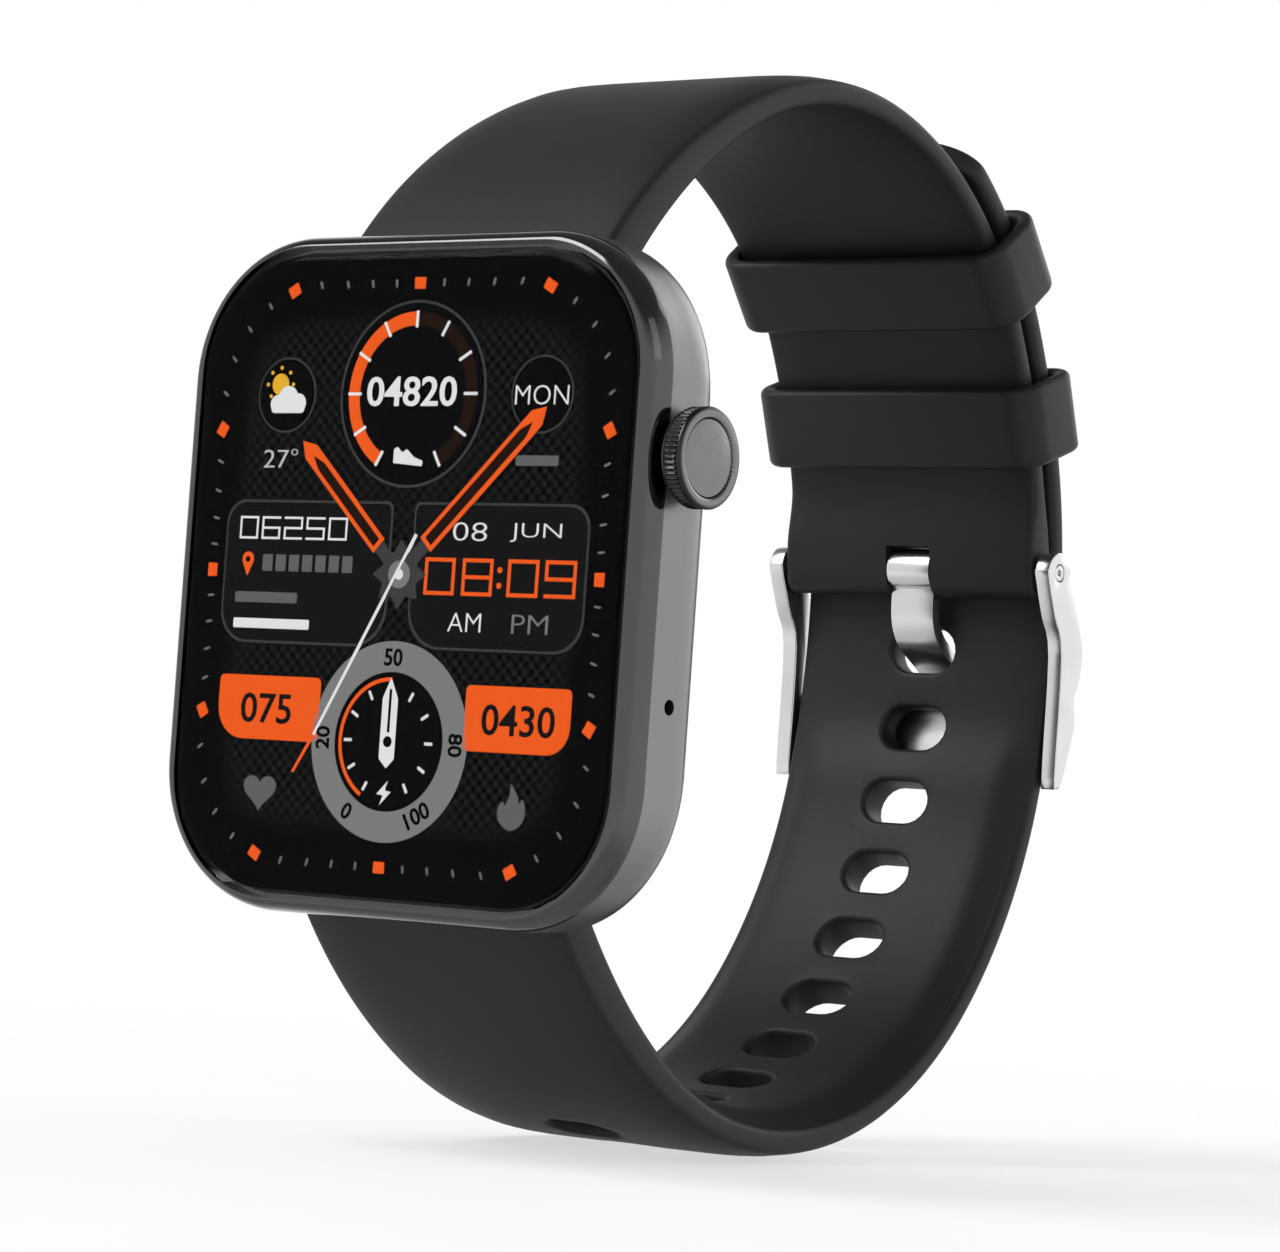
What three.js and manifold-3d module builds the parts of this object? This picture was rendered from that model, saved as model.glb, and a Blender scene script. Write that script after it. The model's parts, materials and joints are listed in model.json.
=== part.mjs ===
// Smartwatch with a rounded-square metal case, a touch display, a turning crown and a buckled silicone strap.
// Millimetres. +Z is the twelve o'clock side, the display faces -Y and the crown is on +X.
// The origin is the centre of the flat sensor window on the case back.
import * as THREE from 'three';
import { mergeVertices } from 'three/addons/utils/BufferGeometryUtils.js';
import Module from 'manifold-3d';

const wasm = await Module();
wasm.setup();

// Case.
const caseWidth = 38.9;
const caseHeight = 44.6;
const caseCorner = 9.6;
const rimY = -11.1; // front edge of the metal rim
const glassFrontY = -11.65;
const caseBackY = -0.8;
const windowY = 0;
const glassWidth = 36.3;
const glassHeight = 42.6;
const glassCorner = 8.3;
const glassSeatY = -10.3;
const displayBackY = -9.4;
const cavityFrontY = -9.0;
const cavity = { width: 33.8, height: 33.4, corner: 6 };
const neck = { width: 25.8, height: 30.4, corner: 7.5, front: -4.0, back: -2.4 };
const rearSeat = { width: 28.6, height: 33.0, corner: 5.5 };

// Strap.
const strapWidth = 22;
const barY = -5.0;
const barZ = 20.2; // the spring bars lie at plus and minus this height
const recess = { width: 22.8, floor: 17.9, front: -7.2 };
const layerGap = 0.25;
const strapThin = 2.1;
const edgeThin = 1.4;
const upperLegs = [[21.6, -32.4], [37.3, -84.6], [19.3, -23.1]]; // length and turn in degrees
const upperHeading = 56.4;
const lowerLegs = [[15.9, 22.8], [39.4, 81.5], [18.8, 30.3]];
const lowerHeading = -56.2;
const tailTipAt = 44.3; // distance from the twelve o'clock bar to the tip of the tail, along the strap
const tongueHoleAt = 83.9; // from the six o'clock bar, along the strap
const holePitch = 6.03;
const holesBelow = 10;
const holesAbove = 4;
const holeLong = 5.5;
const holeShort = 3.4;
const keeperSpan = 6.0;
const keeperWall = 1.1;
const keeperRoom = { side: 0.3, face: 0.55 };
const keeperLowerAt = 66.4;
const keeperUpperAt = 55.1;

// Buckle.
const pinRadius = 0.6;
const pinAt = { y: 49.15, z: 5.6 };
const armInside = 11.3;
const armOutside = 12.55;
const tongueWidth = 3.4;
const tongueThick = 1.0;

// Crown.
const crownY = -7.8;
const crownZ = 8.0;
const crownRadius = 3.2;
const crownRidges = 60;

const watch = new THREE.Group();
const finish = {
  gunmetal: [0x6d6e70, 0.3, 1.0],
  blackGlass: [0x0a0a0c, 0.06, 0.0],
  silicone: [0x2b2b2c, 0.62, 0.0],
  steel: [0xc9cbcd, 0.2, 1.0],
  blackPlastic: [0x1b1b1d, 0.5, 0.0],
  board: [0x14512f, 0.5, 0.1],
  chip: [0x17181a, 0.4, 0.1],
  tin: [0xb7b9bb, 0.35, 1.0],
  foil: [0xa9acb0, 0.45, 0.6],
  rubber: [0x262626, 0.8, 0.0],
  polyimide: [0xb56a1c, 0.4, 0.1],
  gold: [0xd2a341, 0.25, 1.0],
  diode: [0x33393c, 0.15, 0.0],
  panel: [0x050506, 0.25, 0.0],
  magnet: [0x8f9194, 0.3, 1.0],
};

function material(name) {
  const [color, roughness, metalness] = finish[name];
  return new THREE.MeshStandardMaterial({ color, roughness, metalness });
}

// Adds a geometry to the watch as one named piece.
function place(name, geometry, finishName, parent = watch) {
  const mesh = new THREE.Mesh(geometry, material(finishName));
  mesh.name = name;
  parent.add(mesh);
  return mesh;
}

// ---- Solids ----

function welded(geometry) {
  const bare = geometry.clone();
  bare.deleteAttribute('normal');
  bare.deleteAttribute('uv');
  return mergeVertices(bare, 1e-5);
}

function toSolid(geometry) {
  const merged = welded(geometry);
  return new wasm.Manifold(new wasm.Mesh({
    numProp: 3,
    vertProperties: new Float32Array(merged.attributes.position.array),
    triVerts: new Uint32Array(merged.index.array),
  }));
}

function fromSolid(solid) {
  const { vertProperties, triVerts } = solid.getMesh();
  const geometry = new THREE.BufferGeometry();
  geometry.setAttribute('position', new THREE.BufferAttribute(new Float32Array(vertProperties), 3));
  geometry.setIndex(new THREE.BufferAttribute(new Uint32Array(triVerts), 1));
  geometry.computeVertexNormals();
  return geometry;
}

function cut(geometry, ...cutters) {
  return fromSolid(cutters.reduce((solid, cutter) => solid.subtract(toSolid(cutter)), toSolid(geometry)));
}

function join(geometry, ...others) {
  return fromSolid(others.reduce((solid, other) => solid.add(toSolid(other)), toSolid(geometry)));
}

// Box from its lowest and highest corners.
function box(low, high) {
  const size = high.map((value, i) => value - low[i]);
  const geometry = new THREE.BoxGeometry(...size);
  geometry.translate(...low.map((value, i) => value + size[i] / 2));
  return geometry;
}

// Cylinder along X or Y between two positions on that axis.
function rod(axis, from, to, radius, [a, b], sides = 20) {
  const geometry = new THREE.CylinderGeometry(radius, radius, to - from, sides);
  if (axis === 'x') {
    geometry.rotateZ(-Math.PI / 2);
    geometry.translate((from + to) / 2, a, b);
  } else {
    geometry.translate(a, (from + to) / 2, b);
  }
  return geometry;
}

// Turned piece along X or Y: profile points are [radius, position along the axis], closed on itself.
function turned(axis, profile, [a, b], sides = 24) {
  const geometry = new THREE.LatheGeometry(profile.map(([r, t]) => new THREE.Vector2(r, t)), sides);
  if (axis === 'x') {
    geometry.rotateZ(-Math.PI / 2);
    geometry.translate(0, a, b);
  } else {
    geometry.translate(a, 0, b);
  }
  return outward(geometry);
}

function tube(axis, from, to, inner, outer, centre, sides = 20) {
  const profile = [[inner, from], [outer, from], [outer, to], [inner, to], [inner, from]];
  return turned(axis, profile, centre, sides);
}

function signedVolume(geometry) {
  const { position } = geometry.attributes;
  const index = geometry.index.array;
  const [a, b, c] = [new THREE.Vector3(), new THREE.Vector3(), new THREE.Vector3()];
  let volume = 0;
  for (let i = 0; i < index.length; i += 3) {
    a.fromBufferAttribute(position, index[i]);
    b.fromBufferAttribute(position, index[i + 1]);
    c.fromBufferAttribute(position, index[i + 2]);
    volume += a.dot(b.cross(c)) / 6;
  }
  return volume;
}

// Turns a closed geometry's faces outward.
function outward(geometry) {
  if (signedVolume(geometry) > 0) return geometry;
  const index = geometry.index.array;
  for (let i = 0; i < index.length; i += 3) {
    [index[i + 1], index[i + 2]] = [index[i + 2], index[i + 1]];
  }
  return geometry;
}

// Skin through rings of equally many points, closed at both ends by fans about each ring's middle.
function loft(rings) {
  const count = rings[0].length;
  const points = rings.flat();
  const middle = (ring) => ring.reduce((sum, p) => sum.add(p), new THREE.Vector3()).divideScalar(count);
  points.push(middle(rings[0]), middle(rings.at(-1)));
  const index = [];
  for (let r = 0; r + 1 < rings.length; r += 1) {
    for (let i = 0; i < count; i += 1) {
      const j = (i + 1) % count;
      const [a, b] = [r * count + i, r * count + j];
      index.push(a, b, b + count, a, b + count, a + count);
    }
  }
  const last = (rings.length - 1) * count;
  for (let i = 0; i < count; i += 1) {
    const j = (i + 1) % count;
    index.push(points.length - 2, j, i);
    index.push(points.length - 1, last + i, last + j);
  }
  const geometry = new THREE.BufferGeometry().setFromPoints(points);
  geometry.setIndex(new THREE.BufferAttribute(new Uint32Array(index), 1));
  geometry.computeVertexNormals();
  return outward(geometry);
}

// Outline of a rounded rectangle in the XZ plane at height y, centred at [x, z].
function roundedRing(width, height, corner, y, segments = 8, [x, z] = [0, 0]) {
  const points = [];
  for (let quarter = 0; quarter < 4; quarter += 1) {
    const [sx, sz] = [[1, 1], [-1, 1], [-1, -1], [1, -1]][quarter];
    for (let i = 0; i <= segments; i += 1) {
      const angle = (quarter + i / segments) * Math.PI / 2;
      const cx = sx * (width / 2 - corner);
      const cz = sz * (height / 2 - corner);
      const [dx, dz] = [corner * Math.cos(angle), corner * Math.sin(angle)];
      points.push(new THREE.Vector3(x + cx + dx, y, z + cz + dz));
    }
  }
  return points;
}

// Straight-sided block with a rounded-rectangle outline.
function slab(width, height, corner, from, to, centre = [0, 0], segments = 5) {
  return loft([from, to].map((y) => roundedRing(width, height, corner, y, segments, centre)));
}

// Flat outline in the YZ plane, extruded along X.
function plate(outline, from, to) {
  const shape = new THREE.Shape(outline.map(([y, z]) => new THREE.Vector2(y, z)));
  const geometry = new THREE.ExtrudeGeometry(shape, { depth: to - from, bevelEnabled: false });
  // Shape x is the watch's Y, shape y its Z and the extrusion its X.
  geometry.applyMatrix4(new THREE.Matrix4().set(0, 0, 1, from, 1, 0, 0, 0, 0, 1, 0, 0, 0, 0, 0, 1));
  return geometry;
}

// ---- Strap paths ----

const radians = (degrees) => degrees * Math.PI / 180;

// Stations along arcs that follow each other without a kink; each leg is a length and a turn.
function arcStations(start, headingDegrees, legs, step) {
  let station = { y: start.y, z: start.z, heading: radians(headingDegrees), s: 0 };
  const stations = [station];
  for (const [length, turn] of legs) {
    const steps = Math.ceil(length / step);
    for (let i = 0; i < steps; i += 1) {
      const bend = radians(turn) / steps;
      const middle = station.heading + bend / 2;
      station = {
        y: station.y + length / steps * Math.cos(middle),
        z: station.z + length / steps * Math.sin(middle),
        heading: station.heading + bend,
        s: station.s + length / steps,
      };
      stations.push(station);
    }
  }
  return stations;
}

// Station at a distance along the path, between the two stations around it.
function stationAt(stations, s) {
  const next = Math.max(1, stations.findIndex((station) => station.s >= s));
  const [a, b] = [stations[next - 1], stations[next]];
  const t = (s - a.s) / (b.s - a.s);
  const mix = (key) => a[key] + (b[key] - a[key]) * t;
  return { y: mix('y'), z: mix('z'), heading: mix('heading'), s };
}

// Moves a station sideways, to the left of its heading.
function shifted(station, distance) {
  return {
    ...station,
    y: station.y - distance * Math.sin(station.heading),
    z: station.z + distance * Math.cos(station.heading),
  };
}

const stationStep = 3.2;
const upperPath = arcStations({ y: barY, z: barZ }, upperHeading, upperLegs, stationStep);
const upperLength = upperPath.at(-1).s;
const layerPitch = strapThin + layerGap;

// The long strap runs up from six o'clock, bends out behind the buckle and follows the short strap outside it.
function longStrapPath() {
  const rise = arcStations({ y: barY, z: -barZ }, lowerHeading, lowerLegs, stationStep);
  const lapStart = upperLength - 8;
  const lap = [];
  for (let s = lapStart; s > tailTipAt; s -= stationStep) lap.push(stationAt(upperPath, s));
  lap.push(stationAt(upperPath, tailTipAt));
  const over = lap.map((station) => shifted(station, layerPitch));
  const from = rise.at(-1);
  const to = over[0];
  const reach = Math.hypot(to.y - from.y, to.z - from.z) / 3;
  const curve = new THREE.CubicBezierCurve(
    new THREE.Vector2(from.y, from.z),
    new THREE.Vector2(from.y + reach * Math.cos(from.heading), from.z + reach * Math.sin(from.heading)),
    new THREE.Vector2(to.y - reach * Math.cos(to.heading + Math.PI), to.z - reach * Math.sin(to.heading + Math.PI)),
    new THREE.Vector2(to.y, to.z),
  );
  const path = [...rise];
  const extend = (y, z, heading) => {
    const last = path.at(-1);
    path.push({ y, z, heading, s: last.s + Math.hypot(y - last.y, z - last.z) });
  };
  const bendSteps = 6;
  for (let i = 1; i < bendSteps; i += 1) {
    const point = curve.getPoint(i / bendSteps);
    const tangent = curve.getTangent(i / bendSteps);
    extend(point.x, point.y, Math.atan2(tangent.y, tangent.x));
  }
  for (const station of over) extend(station.y, station.z, station.heading + Math.PI);
  return path;
}

const longPath = longStrapPath();

const smooth = (t) => {
  const u = Math.min(1, Math.max(0, t));
  return u * u * (3 - 2 * u);
};

// Thickness of a strap in its middle and at its edges, thinning away from the case over a taper length.
function strapThickness(s) {
  const atCase = { middle: 3.7, edge: 2.9 };
  return {
    middle: THREE.MathUtils.lerp(atCase.middle, strapThin, smooth(s / 46)),
    edge: THREE.MathUtils.lerp(atCase.edge, edgeThin, smooth(s / 26)),
  };
}

const sectionStops = [-1, -0.82, -0.4, 0.4, 0.82, 1];

// Pillow-shaped cross-section at a station.
function strapRing(station, { middle, edge }, halfWidth = strapWidth / 2, squeeze = 1) {
  const side = (sign, stops) => stops.map((stop) => {
    const half = (edge + (middle - edge) * (1 - stop ** 4)) / 2 * squeeze * sign;
    const { y, z } = shifted(station, half);
    return new THREE.Vector3(stop * halfWidth, y, z);
  });
  return [...side(1, sectionStops), ...side(-1, [...sectionStops].reverse())];
}

// Rings that round off the end of a strap about a bar or pin; direction is -1 at its start and 1 at its end.
function noseRings(station, thickness, direction) {
  const radius = thickness.middle / 2;
  const rings = [0.5, 0.87, 0.985].map((reach) => {
    const along = direction * radius * reach;
    const moved = {
      ...station,
      y: station.y + along * Math.cos(station.heading),
      z: station.z + along * Math.sin(station.heading),
    };
    return strapRing(moved, thickness, strapWidth / 2, Math.sqrt(1 - reach * reach));
  });
  return direction < 0 ? rings.reverse() : rings;
}

// Cutter across a strap, with rounded ends, at a distance along its path.
function holeCutter(path, s) {
  const station = stationAt(path, s);
  const straight = holeLong / 2 - holeShort / 2;
  const shape = new THREE.Shape();
  shape.absarc(straight, 0, holeShort / 2, -Math.PI / 2, Math.PI / 2, false);
  shape.absarc(-straight, 0, holeShort / 2, Math.PI / 2, Math.PI * 1.5, false);
  const depth = 8;
  const options = { depth, bevelEnabled: false, curveSegments: 4 };
  const geometry = new THREE.ExtrudeGeometry(shape, options);
  geometry.translate(0, 0, -depth / 2);
  const along = new THREE.Vector3(0, Math.cos(station.heading), Math.sin(station.heading));
  const across = new THREE.Vector3(1, 0, 0);
  const normal = new THREE.Vector3().crossVectors(across, along);
  geometry.applyMatrix4(new THREE.Matrix4().makeBasis(across, along, normal));
  geometry.translate(0, station.y, station.z);
  return geometry;
}

// ---- Case ----

const barCentre = (side) => [barY, side * barZ];
const screwSpots = [[11.3, 13.7], [-11.3, 13.7], [-11.3, -13.7], [11.3, -13.7]];

function caseShell() {
  // Depth, then how far the outline lies inside the widest one.
  const sections = [
    [rimY, 0.85], [-10.85, 0.4], [-10.2, 0.04], [-9.6, 0], [-6.2, 0],
    [-5.2, 0.14], [-4.2, 0.68], [-3.2, 1.42], [-2.2, 2.25], [-1.4, 2.95], [caseBackY, 3.7],
  ];
  const outer = loft(sections.map(([y, inset]) => {
    const corner = y < cavityFrontY ? caseCorner - inset : caseCorner;
    return roundedRing(caseWidth - 2 * inset, caseHeight - 2 * inset, corner, y, 7);
  }));
  const glassRoom = slab(glassWidth + 0.3, glassHeight + 0.3, glassCorner + 0.15, -12, glassSeatY, [0, 0], 7);
  const displayRoom = slab(34.0, 40.2, 6.8, -11, cavityFrontY - 0.001);
  const mainRoom = slab(cavity.width, cavity.height, cavity.corner, cavityFrontY - 0.5, neck.front);
  const neckRoom = slab(neck.width, neck.height, neck.corner, neck.front - 0.5, neck.back + 0.5);
  const rearRoom = slab(rearSeat.width, rearSeat.height, rearSeat.corner, neck.back, 0.5);
  const half = recess.width / 2;
  const recesses = [-1, 1].map((side) => {
    const [low, high] = side > 0 ? [recess.floor, 25] : [-25, -recess.floor];
    return box([-half, recess.front, low], [half, 1, high]);
  });
  const barSockets = [-1, 1].map((side) => rod('x', -12.9, 12.9, 0.7, barCentre(side), 16));
  const screwHoles = screwSpots.map((spot) => rod('y', neck.front - 1, neck.back + 1, 0.75, spot, 8));
  const crownHole = rod('x', 16, 21, 2.05, [crownY, crownZ]);
  const microphoneHole = rod('x', 16, 21, 0.5, [-7.2, -7.6], 12);
  const speakerHoles = [-3, -1, 1, 3].map((z) => rod('x', -21, -16, 0.5, [-6.4, z], 10));
  return cut(
    outer, glassRoom, displayRoom, mainRoom, neckRoom, rearRoom,
    ...recesses, ...barSockets, ...screwHoles, crownHole, microphoneHole, ...speakerHoles,
  );
}

function coverGlass() {
  const sections = [[glassFrontY, 1.7], [-11.56, 1.0], [-11.36, 0.45], [rimY, 0.12], [-10.95, 0], [-10.7, 0]];
  return loft(sections.map(([y, inset]) => (
    roundedRing(glassWidth - 2 * inset, glassHeight - 2 * inset, glassCorner - inset, y, 7)
  )));
}

function frameRing(outer, inner, from, to) {
  return cut(slab(...outer, from, to), slab(...inner, from - 1, to + 1));
}

function innerFrame() {
  const crownNotch = box([11.4, -10, 4.6], [18, -7, 11.4]);
  const flexSlot = box([-4.6, -10, 13.4], [4.6, -7, 14.6]);
  return cut(slab(33.2, 32.8, 5.7, -8.9, -8.35), crownNotch, flexSlot);
}

// Ribbon from the display's back, through the inner frame, to the board.
function displayFlex() {
  const ribbon = 0.16;
  const outline = [
    [-9.25, 5], [-9.25, 14.1], [-6.35, 14.1], [-6.35, 14.1 - ribbon], [-9.25 + ribbon, 14.1 - ribbon],
    [-9.25 + ribbon, 5],
  ];
  return plate(outline, -4, 4);
}

function rearCover() {
  const body = loft([[-2.0, 0], [-1.2, 0], [caseBackY, 0.25]].map(([y, inset]) => (
    roundedRing(28.2 - 2 * inset, 32.6 - 2 * inset, 5.3 - inset, y, 5)
  )));
  const windowHole = rod('y', -3, 1, 9.4, [0, 0], 28);
  const pinHoles = chargeSpots.map((spot) => rod('y', -3, 1, 1.0, spot, 10));
  const screwHoles = screwSpots.map((spot) => rod('y', -3, 1, 0.75, spot, 10));
  const headRooms = screwSpots.map((spot) => rod('y', -1.6, 1, 1.35, spot, 12));
  return cut(body, windowHole, ...pinHoles, ...screwHoles, ...headRooms);
}

const chargeSpots = [[-1.7, -12.7], [1.7, -12.7]];
const magnetSpots = [[-6.0, -11.9], [6.0, -11.9]];

function rearGasket() {
  const ring = frameRing([27.9, 32.3, 5.2], [26.2, 30.8, 7.6], -2.32, -2.1);
  return cut(ring, ...screwSpots.map((spot) => rod('y', -3, -1, 0.8, spot, 8)));
}

function rearScrew(spot) {
  const head = [[0, -4.4], [0.6, -4.4], [0.6, -1.5], [1.15, -1.5], [1.15, -0.95], [1.05, -0.85], [0, -0.85]];
  const slot = box([-0.85, -1.1, -0.16], [0.85, 0, 0.16]);
  slot.translate(spot[0], 0, spot[1]);
  const crossSlot = box([-0.16, -1.1, -0.85], [0.16, 0, 0.85]);
  crossSlot.translate(spot[0], 0, spot[1]);
  return cut(turned('y', head, spot, 12), slot, crossSlot);
}

function sensorWindow() {
  const profile = [[0, -1.7], [9.05, -1.7], [9.05, -0.75], [8.5, -0.35], [7.6, -0.08], [6.8, windowY], [0, windowY]];
  return turned('y', profile, [0, 0], 32);
}

function buildCase() {
  place('case_shell', caseShell(), 'gunmetal');
  place('cover_glass', coverGlass(), 'blackGlass');
  place('display_gasket', frameRing([35.9, 42.2, 8.1], [34.6, 40.8, 7.2], -10.6, -10.38), 'rubber');
  place('display_panel', slab(33.4, 39.4, 6.4, -10.6, displayBackY), 'panel');
  place('display_flex', displayFlex(), 'polyimide');
  place('inner_frame', innerFrame(), 'blackPlastic');
  place('rear_gasket', rearGasket(), 'rubber');
  place('rear_cover', rearCover(), 'blackPlastic');
  screwSpots.forEach((spot, i) => place(`rear_screw_${i + 1}`, rearScrew(spot), 'steel'));
  place('sensor_window', sensorWindow(), 'blackGlass');
}

// ---- Inside the case ----

function boardOutline() {
  return slab(27.0, 9.0, 4.2, -6.2, -5.5, [-2.1, 11.1]);
}

function shieldCan() {
  const skin = 0.2;
  const [low, high] = [[-13.4, -7.4, 8], [-4.9, -6.3, 14.4]];
  const inside = box([low[0] + skin, low[1] + skin, low[2] + skin], [high[0] - skin, 0, high[2] - skin]);
  return cut(box(low, high), inside);
}

const motorCentre = [-11.9, -10.9];

function motorCup() {
  const profile = [
    [0, -4.6], [4.0, -4.6], [4.0, -7.4], [3.7, -7.4], [3.7, -4.9], [0.45, -4.9], [0.45, -6.9], [0, -6.9],
  ];
  return turned('y', profile, motorCentre);
}

// Half disc on a hub, off balance on purpose.
function motorRotor() {
  const disc = tube('y', -6.8, -5.3, 0.6, 3.4, motorCentre);
  const [x, z] = motorCentre;
  const empty = cut(box([x - 5, -8, z], [x + 5, -4, z + 5]), rod('y', -9, -3, 1.3, motorCentre));
  return cut(disc, empty);
}

function buildInside() {
  place('battery', slab(19.4, 18.4, 1.2, -7.9, -4.35, [3.1, -3.9], 4), 'foil');
  place('battery_tape', box([-5, -8.25, -12], [11, -8.0, 4]), 'rubber');
  place('main_board', boardOutline(), 'board');
  place('processor', box([-11.6, -6.95, 9], [-6.8, -6.28, 13.6]), 'chip');
  place('shield_can', shieldCan(), 'tin');
  place('memory_chip', box([3.5, -5.4, 8.6], [8.5, -4.7, 12.6]), 'chip');
  place('antenna', box([-8.6, -8.0, 16.1], [8.6, -5.0, 16.35]), 'gold');
  place('speaker', slab(8.2, 10.6, 1.6, -7.9, -4.4, [-12.4, -0.4], 3), 'blackPlastic');
  place('speaker_mesh', box([-16.85, -7.4, -4.2], [-16.6, -5.4, 4.2]), 'rubber');
  place('microphone', box([14.2, -7.9, -9.2], [16.3, -6.5, -6.0]), 'tin');
  place('microphone_mesh', rod('x', 16.45, 16.7, 0.9, [-7.2, -7.6], 12), 'rubber');
  place('motor_cup', motorCup(), 'tin');
  place('motor_rotor', motorRotor(), 'magnet');
  place('sensor_board', rod('y', -3.4, -2.8, 7.6, [0, 0], 32), 'board');
  place('light_barrier', tube('y', -2.65, -1.85, 3.6, 4.3, [0, 0], 24), 'rubber');
  [[-1.5, 0], [1.5, 0]].forEach(([x, z], i) => {
    place(`sensor_led_${i + 1}`, box([x - 0.8, -2.7, z - 0.8], [x + 0.8, -2.1, z + 0.8]), 'gold');
  });
  [[0, 5.8], [0, -5.8]].forEach(([x, z], i) => {
    place(`sensor_diode_${i + 1}`, box([x - 1.4, -2.7, z - 1], [x + 1.4, -2.2, z + 1]), 'diode');
  });
  chargeSpots.forEach((spot, i) => {
    const profile = [[0, -3.6], [0.8, -3.6], [0.8, -0.95], [0.62, -0.72], [0, -0.72]];
    place(`charge_pin_${i + 1}`, turned('y', profile, spot, 16), 'gold');
  });
  magnetSpots.forEach((spot, i) => place(`charge_magnet_${i + 1}`, rod('y', -3.7, -2.45, 1.9, spot), 'magnet'));
}

// ---- Crown ----

const crownAxis = [crownY, crownZ];

// Straight-knurled cap, hollow behind its disc.
function crownCap() {
  const shape = new THREE.Shape();
  for (let i = 0; i < crownRidges * 2; i += 1) {
    const angle = i / crownRidges * Math.PI;
    const radius = crownRadius - (i % 2 ? 0.13 : 0);
    const [u, v] = [radius * Math.cos(angle), radius * Math.sin(angle)];
    if (i) shape.lineTo(u, v);
    else shape.moveTo(u, v);
  }
  const knurl = new THREE.ExtrudeGeometry(shape, { depth: 1.1, bevelEnabled: false });
  knurl.rotateY(Math.PI / 2);
  knurl.translate(20.3, crownY, crownZ);
  const collar = turned('x', [[0, 20.1], [2.9, 20.1], [3.1, 20.35], [0, 20.35]], crownAxis, 32);
  const lip = turned('x', [[0, 21.35], [3.22, 21.35], [3.22, 21.6], [3.05, 21.75], [0, 21.75]], crownAxis, 32);
  const discRoom = rod('x', 21.25, 23, 2.55, crownAxis, 32);
  const stemRoom = rod('x', 19, 20.9, 1.0, crownAxis);
  return cut(join(knurl, collar, lip), discRoom, stemRoom);
}

function crownDisc() {
  const profile = [[0, 21.3], [2.45, 21.3], [2.45, 21.55], [2.3, 21.62], [1.2, 21.68], [0, 21.7]];
  return turned('x', profile, crownAxis, 32);
}

function crownStem() {
  const profile = [
    [0, 14.2], [1.15, 14.2], [1.15, 14.7], [0.85, 14.7], [0.85, 20.7], [0, 20.7],
  ];
  return turned('x', profile, crownAxis);
}

function crownRing() {
  const ring = new THREE.TorusGeometry(1.16, 0.24, 6, 16);
  ring.rotateY(Math.PI / 2);
  ring.translate(18.6, crownY, crownZ);
  return ring;
}

function buildCrown() {
  place('crown_cap', crownCap(), 'gunmetal');
  place('crown_disc', crownDisc(), 'gunmetal');
  place('crown_stem', crownStem(), 'steel');
  place('crown_o_ring', crownRing(), 'rubber');
  place('crown_bushing', tube('x', 17.0, 19.5, 1.45, 1.9, crownAxis), 'steel');
  place('crown_yoke', tube('x', 14.85, 15.3, 0.97, 1.4, crownAxis), 'steel');
  place('crown_switch', box([11.95, crownY - 1, crownZ - 1.5], [13.6, crownY + 1.6, crownZ + 1.5]), 'blackPlastic');
  place('crown_flex', box([11.55, -8.1, 6.6], [11.75, -5.5, 12.0]), 'polyimide');
}

// ---- Spring bars ----

const barHalf = 9.9;

function barTube(side) {
  const body = tube('x', -barHalf, barHalf, 0.55, 0.85, barCentre(side), 16);
  const leverSlot = box([-8.9, barY, side * barZ - 0.45], [-5.2, barY + 2, side * barZ + 0.45]);
  return cut(body, leverSlot);
}

function barTip(side, from, to) {
  return rod('x', from, to, 0.45, barCentre(side), 12);
}

// Sliding tip with the thumb lever that draws it in.
function releaseTip(side) {
  const z = side * barZ;
  const stalk = box([-8.6, barY + 0.1, z - 0.3], [-7.8, barY + 2.3, z + 0.3]);
  const knob = box([-8.7, barY + 2.2, z - 0.65], [-7.3, barY + 2.9, z + 0.65]);
  return join(barTip(side, -12.5, -7.2), stalk, knob);
}

class Helix extends THREE.Curve {
  constructor(from, to, radius, turns, [y, z]) {
    super();
    Object.assign(this, { from, to, radius, turns, y, z });
  }

  getPoint(t, target = new THREE.Vector3()) {
    const angle = t * this.turns * Math.PI * 2;
    const x = this.from + (this.to - this.from) * t;
    return target.set(x, this.y + this.radius * Math.cos(angle), this.z + this.radius * Math.sin(angle));
  }
}

function barSpring(side) {
  const turns = 9;
  const path = new Helix(-6.9, 7.4, 0.33, turns, barCentre(side));
  const wire = 0.09;
  const section = new THREE.Shape([
    new THREE.Vector2(-wire, -wire), new THREE.Vector2(wire, -wire), new THREE.Vector2(0, wire),
  ]);
  return new THREE.ExtrudeGeometry(section, { steps: turns * 6, extrudePath: path, bevelEnabled: false });
}

function buildBars() {
  for (const [label, side] of [['12', 1], ['6', -1]]) {
    place(`bar_tube_${label}`, barTube(side), 'steel');
    place(`bar_tip_${label}`, barTip(side, 7.6, 12.5), 'steel');
    place(`bar_release_${label}`, releaseTip(side), 'steel');
    place(`bar_spring_${label}`, barSpring(side), 'steel');
  }
}

// ---- Strap ----

const pinHoleRadius = 0.78;

function barCutters(side) {
  const z = side * barZ;
  return [
    rod('x', -15, 15, 1.0, barCentre(side), 16),
    box([-9.2, barY, z - 0.95], [-4.6, barY + 4, z + 0.95]),
  ];
}

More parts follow.
